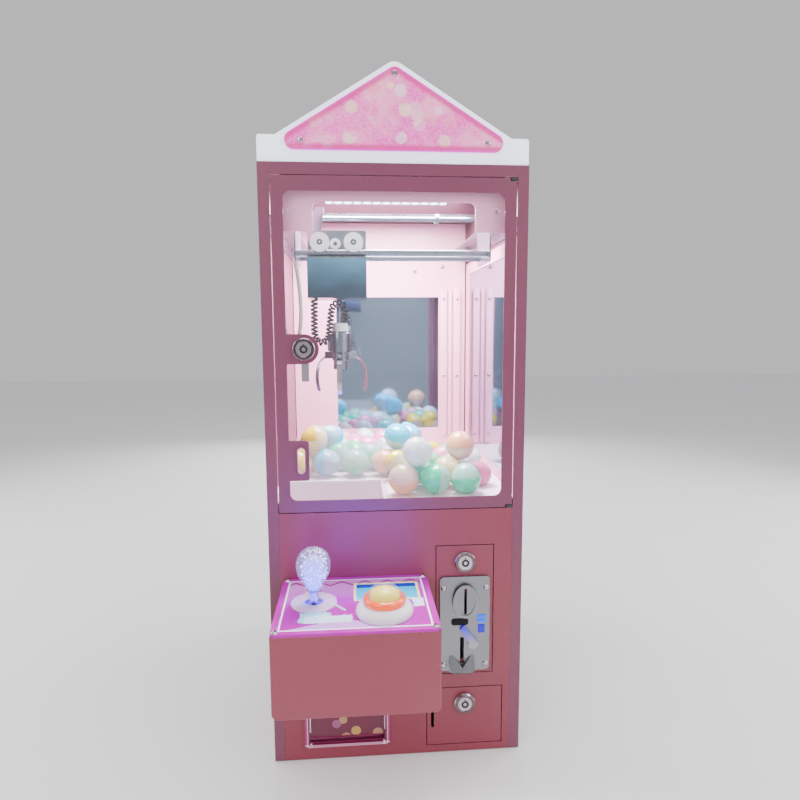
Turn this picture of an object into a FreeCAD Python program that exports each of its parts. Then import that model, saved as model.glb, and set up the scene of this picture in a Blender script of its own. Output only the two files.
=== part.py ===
"""A small free-standing claw crane machine: sheet-steel cabinet, glazed front door, gantry crane
with a three-prong claw, prize chute, control box with joystick and drop button, coin door and cash
door. Millimetres, +Z up, the front faces -Y, origin on the floor under the middle of the whole box.
Inside this file every depth is counted back from the cabinet's front face."""
import FreeCAD
import Part
import math
import os
from FreeCAD import Vector

OUT = "parts"

# ---- cabinet ---------------------------------------------------------------------------------
CAB_W = 320.0            # outside width
CAB_D = 380.0            # outside depth
CAB_H = 748.0            # top of the cabinet above the floor
SHEET = 1.5              # steel sheet
FOOT_H = 6.0             # rubber feet
FOOT_R = 14.0
SKIRT_Z = 1.0            # lower edge of the side panels and the fascia
FOOT_INSET = 30.0        # foot centre from the cabinet's sides
FLANGE_W = 13.2          # front and rear flange of each side panel
SEAT = 0.2               # gap between fixed pieces that are screwed together
SEAM = 1.2               # visible gap round every door
VENT_ROWS = 8

# ---- header ----------------------------------------------------------------------------------
HEADER_RISE = 116.3      # apex above the cabinet
HEADER_END = 31.0        # height of the header's two ends
HEADER_FLAT = 21.0       # flat part at each end
HEADER_D = 45.0
HEADER_WALL = 3.0
ART_EDGE = 6.0           # art panel inside the header's two slopes
ART_LOW = 14.3           # art panel above the cabinet
ART_R = 10.5             # art panel's rounded corners
ART_SCREW_X = 110.0
ART_SCREW_Z = 24.6       # lower screws above the cabinet
ART_SCREW_DOWN = 16.5    # upper screw below the header's apex
ART_T = 3.0

# ---- front door ------------------------------------------------------------------------------
DOOR_Z0 = 331.0
DOOR_Z1 = 733.0
DOOR_SIDE = 14.1         # upright of the door frame
DOOR_SILL = 15.0
DOOR_HEAD = 17.0
DOOR_RETURN = 10.0       # folded edge behind the door's face
WINDOW_R = 9.0
GLASS_T = 3.0
GLASS_LAP = 8.0
LOCK_TAB_W = 38.5
LOCK_TAB_H = 36.0
LOCK_Z = 532.0
PULL_TAB_W = 24.0
PULL_TAB_H = 50.0
PULL_Z = 396.0
PIN_IN = 3.2             # hinge pin from the door's edge
PIN_BACK = 2.6           # hinge pin behind the door's face
PIN_R = 1.5
HINGE_H = 3.0            # corner hinge block

# ---- locks -----------------------------------------------------------------------------------
LOCK_R = 13.5            # lock's round face
LOCK_PROUD = 5.0
LOCK_BODY_R = 9.0
LOCK_LEN = 17.0          # body behind the door's face
PLUG_R = 6.0
CAM_W = 9.0
CAM_T = 2.0

# ---- control box -----------------------------------------------------------------------------
BOX_X0 = -142.0
BOX_W = 178.0
BOX_OUT = 140.0          # how far the box stands out
BOX_Z0 = 152.0
BOX_H = 91.0             # sheet shell, without the panel on top
BOX_R = 7.0
PANEL_T = 3.0
PANEL_R = 6.0
STICK_X = -100.5
STICK_OUT = 69.0         # joystick in front of the cabinet's face
BUTTON_X = -21.5
BUTTON_OUT = 98.0
LCD_X = -16.5
LCD_OUT = 44.0
LCD_W = 72.0
LCD_D = 42.0
STICK_TILT = 15.0
NECK_R = 3.5             # top of the stick, inside the knob
KNOB_FIT = 0.06
DISC_BORE = 10.8         # lets the stick tip both ways at once
BUTTON_TRAVEL = 4.0

# ---- coin door, cash door, prize opening -------------------------------------------------------
COIN_X = 86.0            # middle of the coin door
COIN_W = 73.0
COIN_Z0 = 111.0
COIN_H = 171.0
COIN_PLATE_W = 64.0
COIN_PLATE_H = 126.0
COIN_PLATE_T = 3.0
COIN_LOCK_Z = 260.7
CASH_X = 86.8
CASH_W = 98.0
CASH_Z0 = 12.0
CASH_H = 78.0
CASH_LOCK_Z = 69.2
PRIZE_X = -66.0
PRIZE_W = 110.0
PRIZE_Z0 = 20.0
PRIZE_H = 102.0
PRIZE_RIM = 5.0
FLAP_T = 3.0
FLAP_D = 3.6             # flap's hinge line behind the front face
INLET_X = 95.0
INLET_Z = 60.0
INLET_W = 27.5
INLET_H = 47.5
INLET_PROUD = 3.0        # inlet's flange behind the cabinet

# ---- playfield ---------------------------------------------------------------------------------
DECK_Z = 340.0
DECK_FRONT = 12.0
CHUTE_X0 = -156.0
CHUTE_X1 = -14.0
CHUTE_D0 = 16.0
CHUTE_D1 = 118.0
CHUTE_WALL = 1.2
GUARD_H = 57.0
GUARD_T = 3.0
CAPSULE_R = 20.5
CAPSULE_WALL = 1.2
CAPSULE_GAP = 0.3
STACK_D = 200.0          # capsules lie on others only in front of this depth
LINER_T = 1.2            # mirror frames inside
MIRROR_T = 3.0
MIRROR_Z1 = 613.0

# ---- crane -------------------------------------------------------------------------------------
RAIL_Z = 694.0           # running surface of the side rails
RAIL_IN = 127.0          # inner edge of the rail's shelf from the middle
RAIL_T = 2.0
GANTRY_D0 = 36.0         # front edge of the gantry's end plates
GANTRY_LEN = 78.0
PLATE_X = 121.0          # inside face of the end plates
PLATE_T = 2.0
PLATE_Z0 = 640.0
ROD_R = 4.0
ROD_Z = 651.0
ROD_SPAN = 56.0          # between the two rods
WHEEL_R = 8.0
WHEEL_W = 6.0
SHAFT_R = 3.0
GANTRY_TRAVEL = 220.0
TROLLEY_TRAVEL = 145.0
TROLLEY_W = 74.0
TROLLEY_X = -71.0        # middle of the trolley at home
TROLLEY_T = 1.5
COVER_H = 49.0
ROLLER_R = 8.5           # running radius in the groove
ROLLER_RIM = 3.5
ROLLER_W = 12.0
ROLLER_STEP = 21.0       # roller axles left and right of the middle
SPOOL_R = 3.0
CLAW_X = -69.0
CLAW_TOP = 564.0
CLAW_DROP = 115.0
PRONG_PIVOT_R = 19.0
PRONG_PIVOT_Z = 520.0
PRONG_W = 6.0
PRONG_T = 1.6
PRONG_CLOSE = 35.0
RUN_CLEAR = 0.08         # shaft in a running bore
ARC_SHARE = 0.45         # part of the shorter straight run that a cord's bend takes up

# ---- worked-out places -------------------------------------------------------------------------
HALF_W = CAB_W / 2
FRONT = (BOX_OUT - CAB_D - INLET_PROUD) / 2      # Y of the cabinet's front face
IN_X = HALF_W - SHEET - SEAT
BACK_IN = CAB_D - 2 * SHEET
FASCIA_X = HALF_W - FLANGE_W - SEAT
DOOR_X = HALF_W - FLANGE_W - SEAM
WINDOW_X = DOOR_X - DOOR_SIDE
LOCK_X = -WINDOW_X + LOCK_TAB_W - LOCK_TAB_H / 2
CLAW_D = GANTRY_D0 + GANTRY_LEN / 2
ROD_D = (CLAW_D - ROD_SPAN / 2, CLAW_D + ROD_SPAN / 2)
PANEL_TOP = BOX_Z0 + BOX_H + PANEL_T
WHEEL_Z = RAIL_Z + WHEEL_R + RUN_CLEAR
SHAFT_D = GANTRY_D0 + GANTRY_LEN - 16.0
ROLLER_Z = ROD_Z + ROD_R + ROLLER_R + RUN_CLEAR
FLOOR_Z = ROD_Z - ROD_R - 3.0                    # underside of the trolley's floor
SPOOL_X = CLAW_X - SPOOL_R - 0.8
SPOOL_Z = ROLLER_Z - 1.0
COIN_PLATE_Z0 = COIN_Z0 + 5.0
STICK_Z = BOX_Z0 + BOX_H - 9.0                   # joystick's pivot
PANEL_D = (-BOX_OUT, -SEAT)


# ---- helpers -----------------------------------------------------------------------------------
AXES = {"x": Vector(1, 0, 0), "y": Vector(0, 1, 0), "z": Vector(0, 0, 1)}


def block(x0, x1, d0, d1, z0, z1):
    """A box between two places in x, in depth and in z."""
    corner = Vector(min(x0, x1), FRONT + d0, z0)
    return Part.makeBox(abs(x1 - x0), d1 - d0, z1 - z0, corner)


def rounded(solid, radius, axis):
    """The solid with all its edges that run along axis filleted."""
    way = AXES[axis]
    edges = [e for e in solid.Edges if abs(abs(e.tangentAt(e.FirstParameter).dot(way)) - 1) < 1e-6]
    return solid.makeFillet(radius, edges)


def bar(radius, length, x, d, z, axis):
    """A round bar that starts at x, d, z and runs along axis."""
    return Part.makeCylinder(radius, length, Vector(x, FRONT + d, z), AXES[axis])


def tube(outer, inner, length, x, d, z, axis):
    """A round tube."""
    return bar(outer, length, x, d, z, axis).cut(bar(inner, length, x, d, z, axis))


def join(*shapes):
    """One solid made of shapes that touch or overlap."""
    whole = shapes[0]
    for shape in shapes[1:]:
        whole = whole.fuse(shape)
    return whole.removeSplitter()


def cut(shape, *tools):
    """The shape with each tool taken away."""
    for tool in tools:
        shape = shape.cut(tool)
    return shape


def front_prism(points, d0, d1):
    """A polygon of (x, z) points, run from depth d0 to d1."""
    corners = [Vector(x, FRONT + d0, z) for x, z in points]
    face = Part.Face(Part.makePolygon(corners + corners[:1]))
    return face.extrude(Vector(0, d1 - d0, 0))


def side_prism(points, x0, x1):
    """A polygon of (depth, z) points, run from x0 to x1."""
    corners = [Vector(x0, FRONT + d, z) for d, z in points]
    face = Part.Face(Part.makePolygon(corners + corners[:1]))
    return face.extrude(Vector(x1 - x0, 0, 0))


def turned(points, x, d):
    """A solid of revolution about the upright through x, d, from (radius, z) points."""
    corners = [Vector(x + r, FRONT + d, z) for r, z in points]
    face = Part.Face(Part.makePolygon(corners + corners[:1]))
    return face.revolve(Vector(x, FRONT + d, 0), AXES["z"], 360)


def turned_y(points, x, z):
    """A solid of revolution about the line along Y through x, z, from (radius, depth) points."""
    corners = [Vector(x + r, FRONT + d, z) for r, d in points]
    face = Part.Face(Part.makePolygon(corners + corners[:1]))
    return face.revolve(Vector(x, FRONT, z), AXES["y"], 360)


def group(*shapes):
    """Separate solids that share one node."""
    return Part.makeCompound([s for shape in shapes for s in shape.Solids])


def save(name, shape):
    """Write one node."""
    shape.exportStep(os.path.join(OUT, name + ".step"))


# ---- cabinet -----------------------------------------------------------------------------------
def side_panel(side):
    """A C-shaped side: wall, front flange and rear flange. side is -1 for left."""
    edge = side * HALF_W
    inner = side * (HALF_W - FLANGE_W)
    wall = block(edge, side * (HALF_W - SHEET), 0, CAB_D, SKIRT_Z, CAB_H)
    front = block(edge, inner, 0, SHEET, SKIRT_Z, CAB_H)
    rear = block(edge, inner, CAB_D - SHEET, CAB_D, SKIRT_Z, CAB_H)
    return join(wall, front, rear)


def base_pan():
    flange_h = 20.0
    d0 = SHEET + SEAT
    d1 = BACK_IN - SEAT
    tray = block(-IN_X, IN_X, d0, d1, FOOT_H, FOOT_H + SHEET)
    left = block(-IN_X, SHEET - IN_X, d0, d1, FOOT_H, FOOT_H + flange_h)
    right = block(IN_X, IN_X - SHEET, d0, d1, FOOT_H, FOOT_H + flange_h)
    rear = block(-IN_X, IN_X, d1 - SHEET, d1, FOOT_H, FOOT_H + flange_h)
    return join(tray, left, right, rear)


def feet():
    spots = [(x, d) for x in (FOOT_INSET - HALF_W, HALF_W - FOOT_INSET)
             for d in (FOOT_INSET, CAB_D - FOOT_INSET)]
    profile = [(0, 0), (FOOT_R - 2, 0), (FOOT_R, 1.5), (FOOT_R, FOOT_H), (0, FOOT_H)]
    return group(*[turned(profile, x, d) for x, d in spots])


def top_panel():
    roof = block(-IN_X, IN_X, SHEET + SEAT, BACK_IN, CAB_H - SHEET, CAB_H)
    lip = block(-FASCIA_X, FASCIA_X, 0, SHEET, DOOR_Z1 + SEAM, CAB_H)
    fold = block(-FASCIA_X, FASCIA_X, 0, SHEET + SEAT, CAB_H - SHEET, CAB_H)
    return join(roof, lip, fold)


def front_fascia():
    top = DOOR_Z0 - SEAM
    sheet = block(-FASCIA_X, FASCIA_X, 0, SHEET, SKIRT_Z, top)
    ledge = block(-FASCIA_X, FASCIA_X, 0, CHUTE_D0 - 0.5, top - SHEET, top)
    openings = (
        (PRIZE_X, PRIZE_W - 2 * PRIZE_RIM, PRIZE_Z0 + PRIZE_RIM, PRIZE_H - 2 * PRIZE_RIM),
        (COIN_X, COIN_W + 2 * SEAM, COIN_Z0 - SEAM, COIN_H + 2 * SEAM),
        (CASH_X, CASH_W + 2 * SEAM, CASH_Z0 - SEAM, CASH_H + 2 * SEAM),
        (BOX_X0 + BOX_W / 2, BOX_W - 50, BOX_Z0 + 12, BOX_H - 30))
    body = join(sheet, ledge)
    for x, width, z, height in openings:
        body = cut(body, block(x - width / 2, x + width / 2, -1, SHEET + 1, z, z + height))
    return body


def back_panel():
    vent_w = 90.0
    vent_h = 4.0
    vent_z = 150.0
    sheet = block(-IN_X, IN_X, BACK_IN, CAB_D - SHEET, FOOT_H + SHEET, CAB_H - SHEET - SEAT)
    for row in range(VENT_ROWS):
        z = vent_z + 3 * row * vent_h
        sheet = cut(sheet, block(-vent_w / 2, vent_w / 2, BACK_IN - 1, CAB_D, z, z + vent_h))
    return cut(sheet, block(INLET_X - INLET_W / 2, INLET_X + INLET_W / 2, BACK_IN - 1, CAB_D,
                            INLET_Z - INLET_H / 2, INLET_Z + INLET_H / 2))


def power_inlet():
    """A switched mains inlet, its flange on the back panel and its body through it."""
    out = CAB_D + INLET_PROUD
    face = CAB_D - SHEET
    lap = 3.0
    half_w = INLET_W / 2
    half_h = INLET_H / 2
    flange = block(INLET_X - half_w - lap, INLET_X + half_w + lap, face, out,
                   INLET_Z - half_h - lap, INLET_Z + half_h + lap)
    flange = rounded(flange, 2.0, "y")
    body = block(INLET_X - half_w + SEAT, INLET_X + half_w - SEAT, face - 36, face,
                 INLET_Z - half_h + SEAT, INLET_Z + half_h - SEAT)
    socket = block(INLET_X - 11, INLET_X + 11, out - 18, out, INLET_Z - 19, INLET_Z - 2)
    well = block(INLET_X - 9, INLET_X + 9, out - 4, out, INLET_Z + 3, INLET_Z + 19)
    shape = cut(join(flange, body), socket, well)
    for px, pz in ((-7, -12), (7, -12), (0, -8)):
        pin = block(INLET_X + px - 1, INLET_X + px + 1, out - 18, out - 3,
                    INLET_Z + pz - 2.5, INLET_Z + pz + 2.5)
        shape = join(shape, pin)
    rocker = side_prism([(out - 4, INLET_Z + 4), (out - 0.5, INLET_Z + 4), (out - 3, INLET_Z + 11),
                         (out - 1, INLET_Z + 18), (out - 4, INLET_Z + 18)],
                        INLET_X - 8, INLET_X + 8)
    return join(shape, rocker)


def door_hinge_brackets():
    """The two corner blocks with pins on which the front door hangs."""
    x1 = FASCIA_X
    x0 = DOOR_X - PIN_IN - 4.0
    pin_x = DOOR_X - PIN_IN
    pin_l = 5.0
    low = DOOR_Z0 - SEAM
    high = DOOR_Z1 + SEAM
    lower = join(block(x0, x1, 0, 8, low, DOOR_Z0 + HINGE_H),
                 bar(PIN_R, pin_l, pin_x, PIN_BACK, DOOR_Z0 + HINGE_H, "z"))
    upper = join(block(x0, x1, 0, 8, DOOR_Z1 - HINGE_H, high),
                 bar(PIN_R, pin_l, pin_x, PIN_BACK, DOOR_Z1 - HINGE_H - pin_l, "z"))
    return group(lower, upper)


# ---- header ------------------------------------------------------------------------------------
def header_outline(inset):
    """The header's outline as (x, z) points, drawn inset inside its edge."""
    top = CAB_H + HEADER_RISE
    end = CAB_H + HEADER_END
    bend = HALF_W - HEADER_FLAT
    slope = math.atan2(top - end, bend)
    side_in = inset / math.cos(slope)
    top_in = top - side_in
    edge = HALF_W - inset
    flat_z = end - inset
    bend_x = (top_in - flat_z) / math.tan(slope)
    return [(-edge, CAB_H + inset), (-edge, flat_z), (-bend_x, flat_z), (0, top_in),
            (bend_x, flat_z), (edge, flat_z), (edge, CAB_H + inset)]


def header_shell():
    """The white lamp box on the cabinet, open behind its art panel's screws only."""
    d0 = ART_T + 1.0
    outer = front_prism(header_outline(0), d0, d0 + HEADER_D)
    apex = [e for e in outer.Edges if abs(e.CenterOfMass.z - CAB_H - HEADER_RISE) < 0.1]
    outer = outer.makeFillet(14.0, apex)
    ends = [e for e in outer.Edges if abs(abs(e.CenterOfMass.x) - HALF_W) < 0.1
            and abs(e.CenterOfMass.z - CAB_H - HEADER_END) < 0.1]
    outer = outer.makeFillet(3.0, ends)
    inner = front_prism(header_outline(HEADER_WALL), d0 + HEADER_WALL, d0 + HEADER_D - HEADER_WALL)
    return cut(outer, inner, *[bar(1.6, HEADER_WALL + 1, x, d0 - 0.5, z, "y")
                               for x, z in art_screws()])


def art_outline():
    """Three corners of the art panel, its slopes parallel to the header's."""
    apex = header_outline(ART_EDGE)[3][1]
    slope = (HEADER_RISE - HEADER_END) / (HALF_W - HEADER_FLAT)
    low = CAB_H + ART_LOW
    half = (apex - low) / slope
    return [(-half, low), (0, apex), (half, low)]


def art_screws():
    """Places of the art panel's three screws."""
    low = CAB_H + ART_SCREW_Z
    top = CAB_H + HEADER_RISE - ART_SCREW_DOWN
    return [(-ART_SCREW_X, low), (0, top), (ART_SCREW_X, low)]


def header_art_panel():
    plate = front_prism(art_outline(), 1.0, 1.0 + ART_T - 0.05)
    plate = rounded(plate, ART_R, "y")
    return cut(plate, *[bar(1.7, ART_T + 2, x, 0, z, "y") for x, z in art_screws()])


def front_screw(x, d, z, head_r):
    """A dome screw driven along +Y whose head sits on a face at depth d."""
    head = [(0, d - 2.2), (head_r * 0.55, d - 1.9), (head_r * 0.85, d - 1.0), (head_r, d),
            (1.5, d), (1.5, d + 5.5), (0, d + 5.5)]
    return turned_y(head, x, z)


def panel_screws():
    """Dome screws: four on the control panel, three on the header's art panel."""
    top = PANEL_TOP
    head = [(0, top + 2.4), (2.2, top + 2.1), (3.6, top + 1.1), (4.0, top), (1.5, top),
            (1.5, top - PANEL_T - 3), (0, top - PANEL_T - 3)]
    flat = [turned(head, x, d) for x, d in control_screws()]
    front = [front_screw(x, 1.0, z, 3.8) for x, z in art_screws()]
    return group(*flat, *front)


# ---- front door --------------------------------------------------------------------------------
def lock_tab():
    """The round-ended tab that carries the door's lock."""
    half = LOCK_TAB_H / 2
    body = block(-WINDOW_X - 1, LOCK_X, 0, SHEET, LOCK_Z - half, LOCK_Z + half)
    return join(body, bar(half, SHEET, LOCK_X, 0, LOCK_Z, "y"))


def pull_tab():
    half = PULL_TAB_H / 2
    body = block(-WINDOW_X - 8, PULL_TAB_W - WINDOW_X, 0, SHEET, PULL_Z - half, PULL_Z + half)
    return rounded(body, 4.0, "y")


def pull_slot(grow):
    """The finger slot in the pull tab, as a cutter."""
    half = PULL_TAB_H / 2 - 9
    x = PULL_TAB_W - WINDOW_X - 9.5
    return rounded(block(x - 4.5 - grow, x + 4.5 + grow, -4, 9, PULL_Z - half - grow,
                         PULL_Z + half + grow), 4.0 + grow * 0.9, "y")


def door_frame():
    face = block(-DOOR_X, DOOR_X, 0, SHEET, DOOR_Z0, DOOR_Z1)
    window = rounded(block(-WINDOW_X, WINDOW_X, -1, SHEET + 1, DOOR_Z0 + DOOR_SILL,
                           DOOR_Z1 - DOOR_HEAD), WINDOW_R, "y")
    body = join(cut(face, window), lock_tab(), pull_tab())
    rim = cut(pull_slot(1.2), pull_slot(0), block(-HALF_W, HALF_W, -5, -1.8, 0, CAB_H),
              block(-HALF_W, HALF_W, SHEET, 20, 0, CAB_H))
    body = join(cut(body, pull_slot(0)), rim)
    back = DOOR_RETURN
    for part in (block(-DOOR_X, SHEET - DOOR_X, 0, back, DOOR_Z0, DOOR_Z1),
                 block(DOOR_X, DOOR_X - SHEET, 0, back, DOOR_Z0, DOOR_Z1),
                 block(-DOOR_X, DOOR_X, 0, back, DOOR_Z0, DOOR_Z0 + SHEET),
                 block(-DOOR_X, DOOR_X, 0, back, DOOR_Z1 - SHEET, DOOR_Z1)):
        body = body.fuse(part)
    notch_x = DOOR_X - PIN_IN - 5.4
    gap = HINGE_H + 0.6
    body = cut(body, block(notch_x, DOOR_X + 1, -1, back + 1, DOOR_Z0 - 1, DOOR_Z0 + gap),
               block(notch_x, DOOR_X + 1, -1, back + 1, DOOR_Z1 - gap, DOOR_Z1 + 1))
    for z in (DOOR_Z0 + gap, DOOR_Z1 - gap - SHEET):
        body = body.fuse(block(notch_x - 1.5, DOOR_X, 0, 8, z, z + SHEET))
    body = cut(body, bar(PIN_R + RUN_CLEAR, CAB_H, DOOR_X - PIN_IN, PIN_BACK, 0, "z"),
               bar(LOCK_BODY_R + 0.1, SHEET + 2, LOCK_X, -1, LOCK_Z, "y"))
    return body.removeSplitter()


def door_glass():
    pane = block(-WINDOW_X - GLASS_LAP, WINDOW_X + GLASS_LAP - 4, SHEET + SEAT,
                 SHEET + SEAT + GLASS_T, DOOR_Z0 + DOOR_SILL - GLASS_LAP,
                 DOOR_Z1 - DOOR_HEAD + GLASS_LAP)
    return cut(pane, bar(LOCK_BODY_R + 0.6, 9, LOCK_X, 0, LOCK_Z, "y"), pull_slot(0))


def lock_barrel(x, z):
    """A cam lock's fixed part: round face, threaded body and nut."""
    outline = [(PLUG_R + RUN_CLEAR, -LOCK_PROUD), (LOCK_R - 2.5, -LOCK_PROUD),
               (LOCK_R, -LOCK_PROUD + 2.5), (LOCK_R, -0.05), (LOCK_BODY_R, -0.05),
               (LOCK_BODY_R, LOCK_LEN - 4), (PLUG_R + RUN_CLEAR, LOCK_LEN - 4)]
    nut_d = SHEET + SEAT + GLASS_T + 0.2
    nut = tube(LOCK_BODY_R + 3.5, LOCK_BODY_R - 0.2, 3.5, x, nut_d, z, "y")
    return join(turned_y(outline, x, z), nut)


def lock_plug(x, z, reach, way):
    """A cam lock's turning plug with its cam pointing along way: (-1, 0), (0, 1) or (0, -1)."""
    back = LOCK_LEN - 4
    body = bar(PLUG_R, back + LOCK_PROUD + 0.8, x, -LOCK_PROUD - 0.6, z, "y")
    keyway = tube(3.4, 2.2, 4, x, -LOCK_PROUD - 0.6, z, "y")
    cam_d = back + 0.2
    half = CAM_W / 2
    if way == (-1, 0):
        arm = block(x - reach, x, cam_d, cam_d + CAM_T, z - half, z + half)
    else:
        far = z + way[1] * reach
        arm = block(x - half, x + half, cam_d, cam_d + CAM_T, min(z, far), max(z, far))
    hub = bar(half + 2, CAM_T, x, cam_d, z, "y")
    return join(cut(body, keyway), arm, hub)


# ---- coin door and cash door ---------------------------------------------------------------------
def coin_door():
    x0 = COIN_X - COIN_W / 2
    x1 = COIN_X + COIN_W / 2
    top = COIN_Z0 + COIN_H
    face = block(x0, x1, 0, SHEET, COIN_Z0, top)
    left = block(x0, x0 + SHEET, 0, DOOR_RETURN - 2, COIN_Z0, top)
    right = block(x1, x1 - SHEET, 0, DOOR_RETURN - 2, COIN_Z0, top)
    hole = block(COIN_X - 26, COIN_X + 26, -1, SHEET + 1, COIN_PLATE_Z0 + 14,
                 COIN_PLATE_Z0 + COIN_PLATE_H - 22)
    body = cut(join(face, left, right), hole,
               bar(LOCK_BODY_R + 0.1, SHEET + 2, COIN_X, -1, COIN_LOCK_Z, "y"),
               bar(PIN_R + RUN_CLEAR, COIN_W + 10, x0 - 5, PIN_BACK, COIN_Z0 + PIN_BACK, "x"))
    return cut(body, *[bar(1.6, SHEET + 2, x, -1, z, "y") for x, z in coin_screws()])


def coin_screws():
    dx = COIN_PLATE_W / 2 - 4.5
    low = COIN_PLATE_Z0 + 8.5
    return [(COIN_X + sx * dx, z) for sx in (-1, 1) for z in (low, low + 103)]


def oval_prism(x, z, half_h, half_w, d, out):
    """An upright ellipse at depth d, drawn out toward the front."""
    middle = Vector(x, FRONT + d, z)
    oval = Part.Face(Part.Wire(Part.Ellipse(middle, half_h, half_w).toShape()))
    oval.rotate(middle, AXES["x"], 90)
    oval.rotate(middle, AXES["y"], 90)
    return oval.extrude(Vector(0, -out, 0))


def coin_plate():
    """The cast faceplate with its slot bezel, return slot, return cup and four screws."""
    out = -SEAT
    face_d = out - COIN_PLATE_T
    top = COIN_PLATE_Z0 + COIN_PLATE_H
    plate = block(COIN_X - COIN_PLATE_W / 2, COIN_X + COIN_PLATE_W / 2, face_d, out,
                  COIN_PLATE_Z0, top)
    plate = rounded(plate, 5.0, "y")
    bezel_z = top - 31.5
    bezel = oval_prism(COIN_X, bezel_z, 22.0, 16.0, face_d, 5.0)
    dish = oval_prism(COIN_X, bezel_z, 18.5, 12.5, face_d - 3.8, 2.0)
    groove = oval_prism(COIN_X, bezel_z, 23.4, 17.4, face_d + 1.0, 1.5)
    plate = cut(plate, groove.cut(oval_prism(COIN_X, bezel_z, 22.0, 16.0, face_d + 2.0, 4.0)))
    slot_x = COIN_X - 3.5
    spout = side_prism([(face_d - 9, COIN_PLATE_Z0 + 1), (face_d - 5, COIN_PLATE_Z0 - 2.5),
                        (out, COIN_PLATE_Z0 - 2.5), (out, COIN_PLATE_Z0 + 21),
                        (face_d, COIN_PLATE_Z0 + 21)], COIN_X - 19.5, COIN_X + 12.5)
    cheek_l = front_prism([(COIN_X - 20, COIN_PLATE_Z0 - 3), (slot_x - 9, COIN_PLATE_Z0 - 3),
                           (COIN_X - 20, COIN_PLATE_Z0 + 5)], face_d - 12, face_d)
    cheek_r = front_prism([(slot_x + 9, COIN_PLATE_Z0 - 3), (COIN_X + 13, COIN_PLATE_Z0 - 3),
                           (COIN_X + 13, COIN_PLATE_Z0 + 5)], face_d - 12, face_d)
    scoop = front_prism([(slot_x - 13, COIN_PLATE_Z0 + 22), (slot_x + 13, COIN_PLATE_Z0 + 22),
                         (slot_x, COIN_PLATE_Z0 + 6)], face_d - 12, face_d + 1.5)
    body = join(plate, cut(bezel, dish), cut(spout, cheek_l, cheek_r, scoop))
    body = cut(body, block(COIN_X - 1.8, COIN_X + 1.8, face_d - 8, out + 1, bezel_z - 17,
                           bezel_z + 17),
               block(slot_x - 2.6, slot_x + 2.6, face_d - 12, out + 1, COIN_PLATE_Z0 + 10,
                     COIN_PLATE_Z0 + 45),
               bar(2.0 + RUN_CLEAR, 20, *lever_pivot(), "y"),
               *[bar(1.7, 20, x, face_d - 5, z, "y") for x, z in coin_screws()])
    return group(body, *[front_screw(x, face_d, z, 3.8) for x, z in coin_screws()])


def lever_pivot():
    """Where the coin return lever's shaft starts, as x, depth and z."""
    return (COIN_X + 10.5, -SEAT - COIN_PLATE_T - 3.5, COIN_PLATE_Z0 + 36.4)


def coin_return_lever():
    x, d, z = lever_pivot()
    shaft = bar(2.0, 9.0, x, d, z, "y")
    hub = bar(6.2, 3.0, x, d, z, "y")
    arm = front_prism([(x - 5.6, z + 2), (x + 5, z + 3.6), (x - 3.5, z + 15), (x - 12, z + 26),
                       (x - 17, z + 20), (x - 12, z + 11)], d, d + 3.0)
    return join(shaft, hub, arm)


def coin_mech():
    """The coin validator's body behind the door: an upright coin channel and a return channel."""
    x0 = COIN_X - 25.5
    x1 = COIN_X + 25.5
    z0 = COIN_PLATE_Z0 + 14.5
    z1 = COIN_PLATE_Z0 + COIN_PLATE_H - 23
    slot_x = COIN_X - 3.5
    body = block(x0, x1, 0.2, 56, z0, z1)
    entry = block(COIN_X - 1.9, COIN_X + 1.9, 0, 40, z1 - 28, z1 - 1.5)
    drop = block(COIN_X - 1.9, COIN_X + 1.9, 12, 40, z0 - 1, z1 - 1.5)
    back = block(slot_x - 3, slot_x + 1.5, 0, 12.5, z0 - 1, COIN_PLATE_Z0 + 45)
    x, d, z = lever_pivot()
    return cut(body, entry, drop, back, bar(3.2, 8, x, 0, z, "y"))


def cash_door():
    x0 = CASH_X - CASH_W / 2
    x1 = CASH_X + CASH_W / 2
    top = CASH_Z0 + CASH_H
    back = DOOR_RETURN - 2
    body = join(block(x0, x1, 0, SHEET, CASH_Z0, top),
                block(x0, x1, 0, back, CASH_Z0, CASH_Z0 + SHEET),
                block(x0, x1, 0, back, top - SHEET, top))
    grip = rounded(block(x0 + 5, x0 + 9, -1, SHEET + 1, CASH_Z0 + 24, CASH_Z0 + 50), 1.9, "y")
    return cut(body, grip, bar(LOCK_BODY_R + 0.1, SHEET + 2, CASH_X, -1, CASH_LOCK_Z, "y"),
               bar(PIN_R + RUN_CLEAR, CASH_H + 10, x1 - PIN_BACK, PIN_BACK, CASH_Z0 - 5, "z"))


def service_hinges():
    """Bent ears with pins behind the front panel: two for the coin door, two for the cash door."""
    ears = []
    for side in (-1, 1):
        face = COIN_X + side * (COIN_W / 2 + SEAM)
        inner = COIN_X + side * (COIN_W / 2 + 0.4)
        tip = COIN_X + side * (COIN_W / 2 - SHEET - 1)
        ear = block(inner, face + side * 5, SHEET, 8, COIN_Z0 - SEAM - 4, COIN_Z0 + 8)
        pin = bar(PIN_R, abs(face - tip), min(face, tip), PIN_BACK, COIN_Z0 + PIN_BACK, "x")
        ears.append(join(ear, pin))
    x = CASH_X + CASH_W / 2 - PIN_BACK
    top = CASH_Z0 + CASH_H
    for low, high, z in ((CASH_Z0 - SEAM - 3, CASH_Z0 - 0.4, CASH_Z0 - 1.0),
                         (top + 0.4, top + SEAM + 4, top - SHEET - 2)):
        ear = block(x - 4, x + 9, SHEET, 8, low, high)
        ears.append(join(ear, bar(PIN_R, 3.0 + SHEET, x, PIN_BACK, z, "z")))
    return group(*ears)


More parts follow.
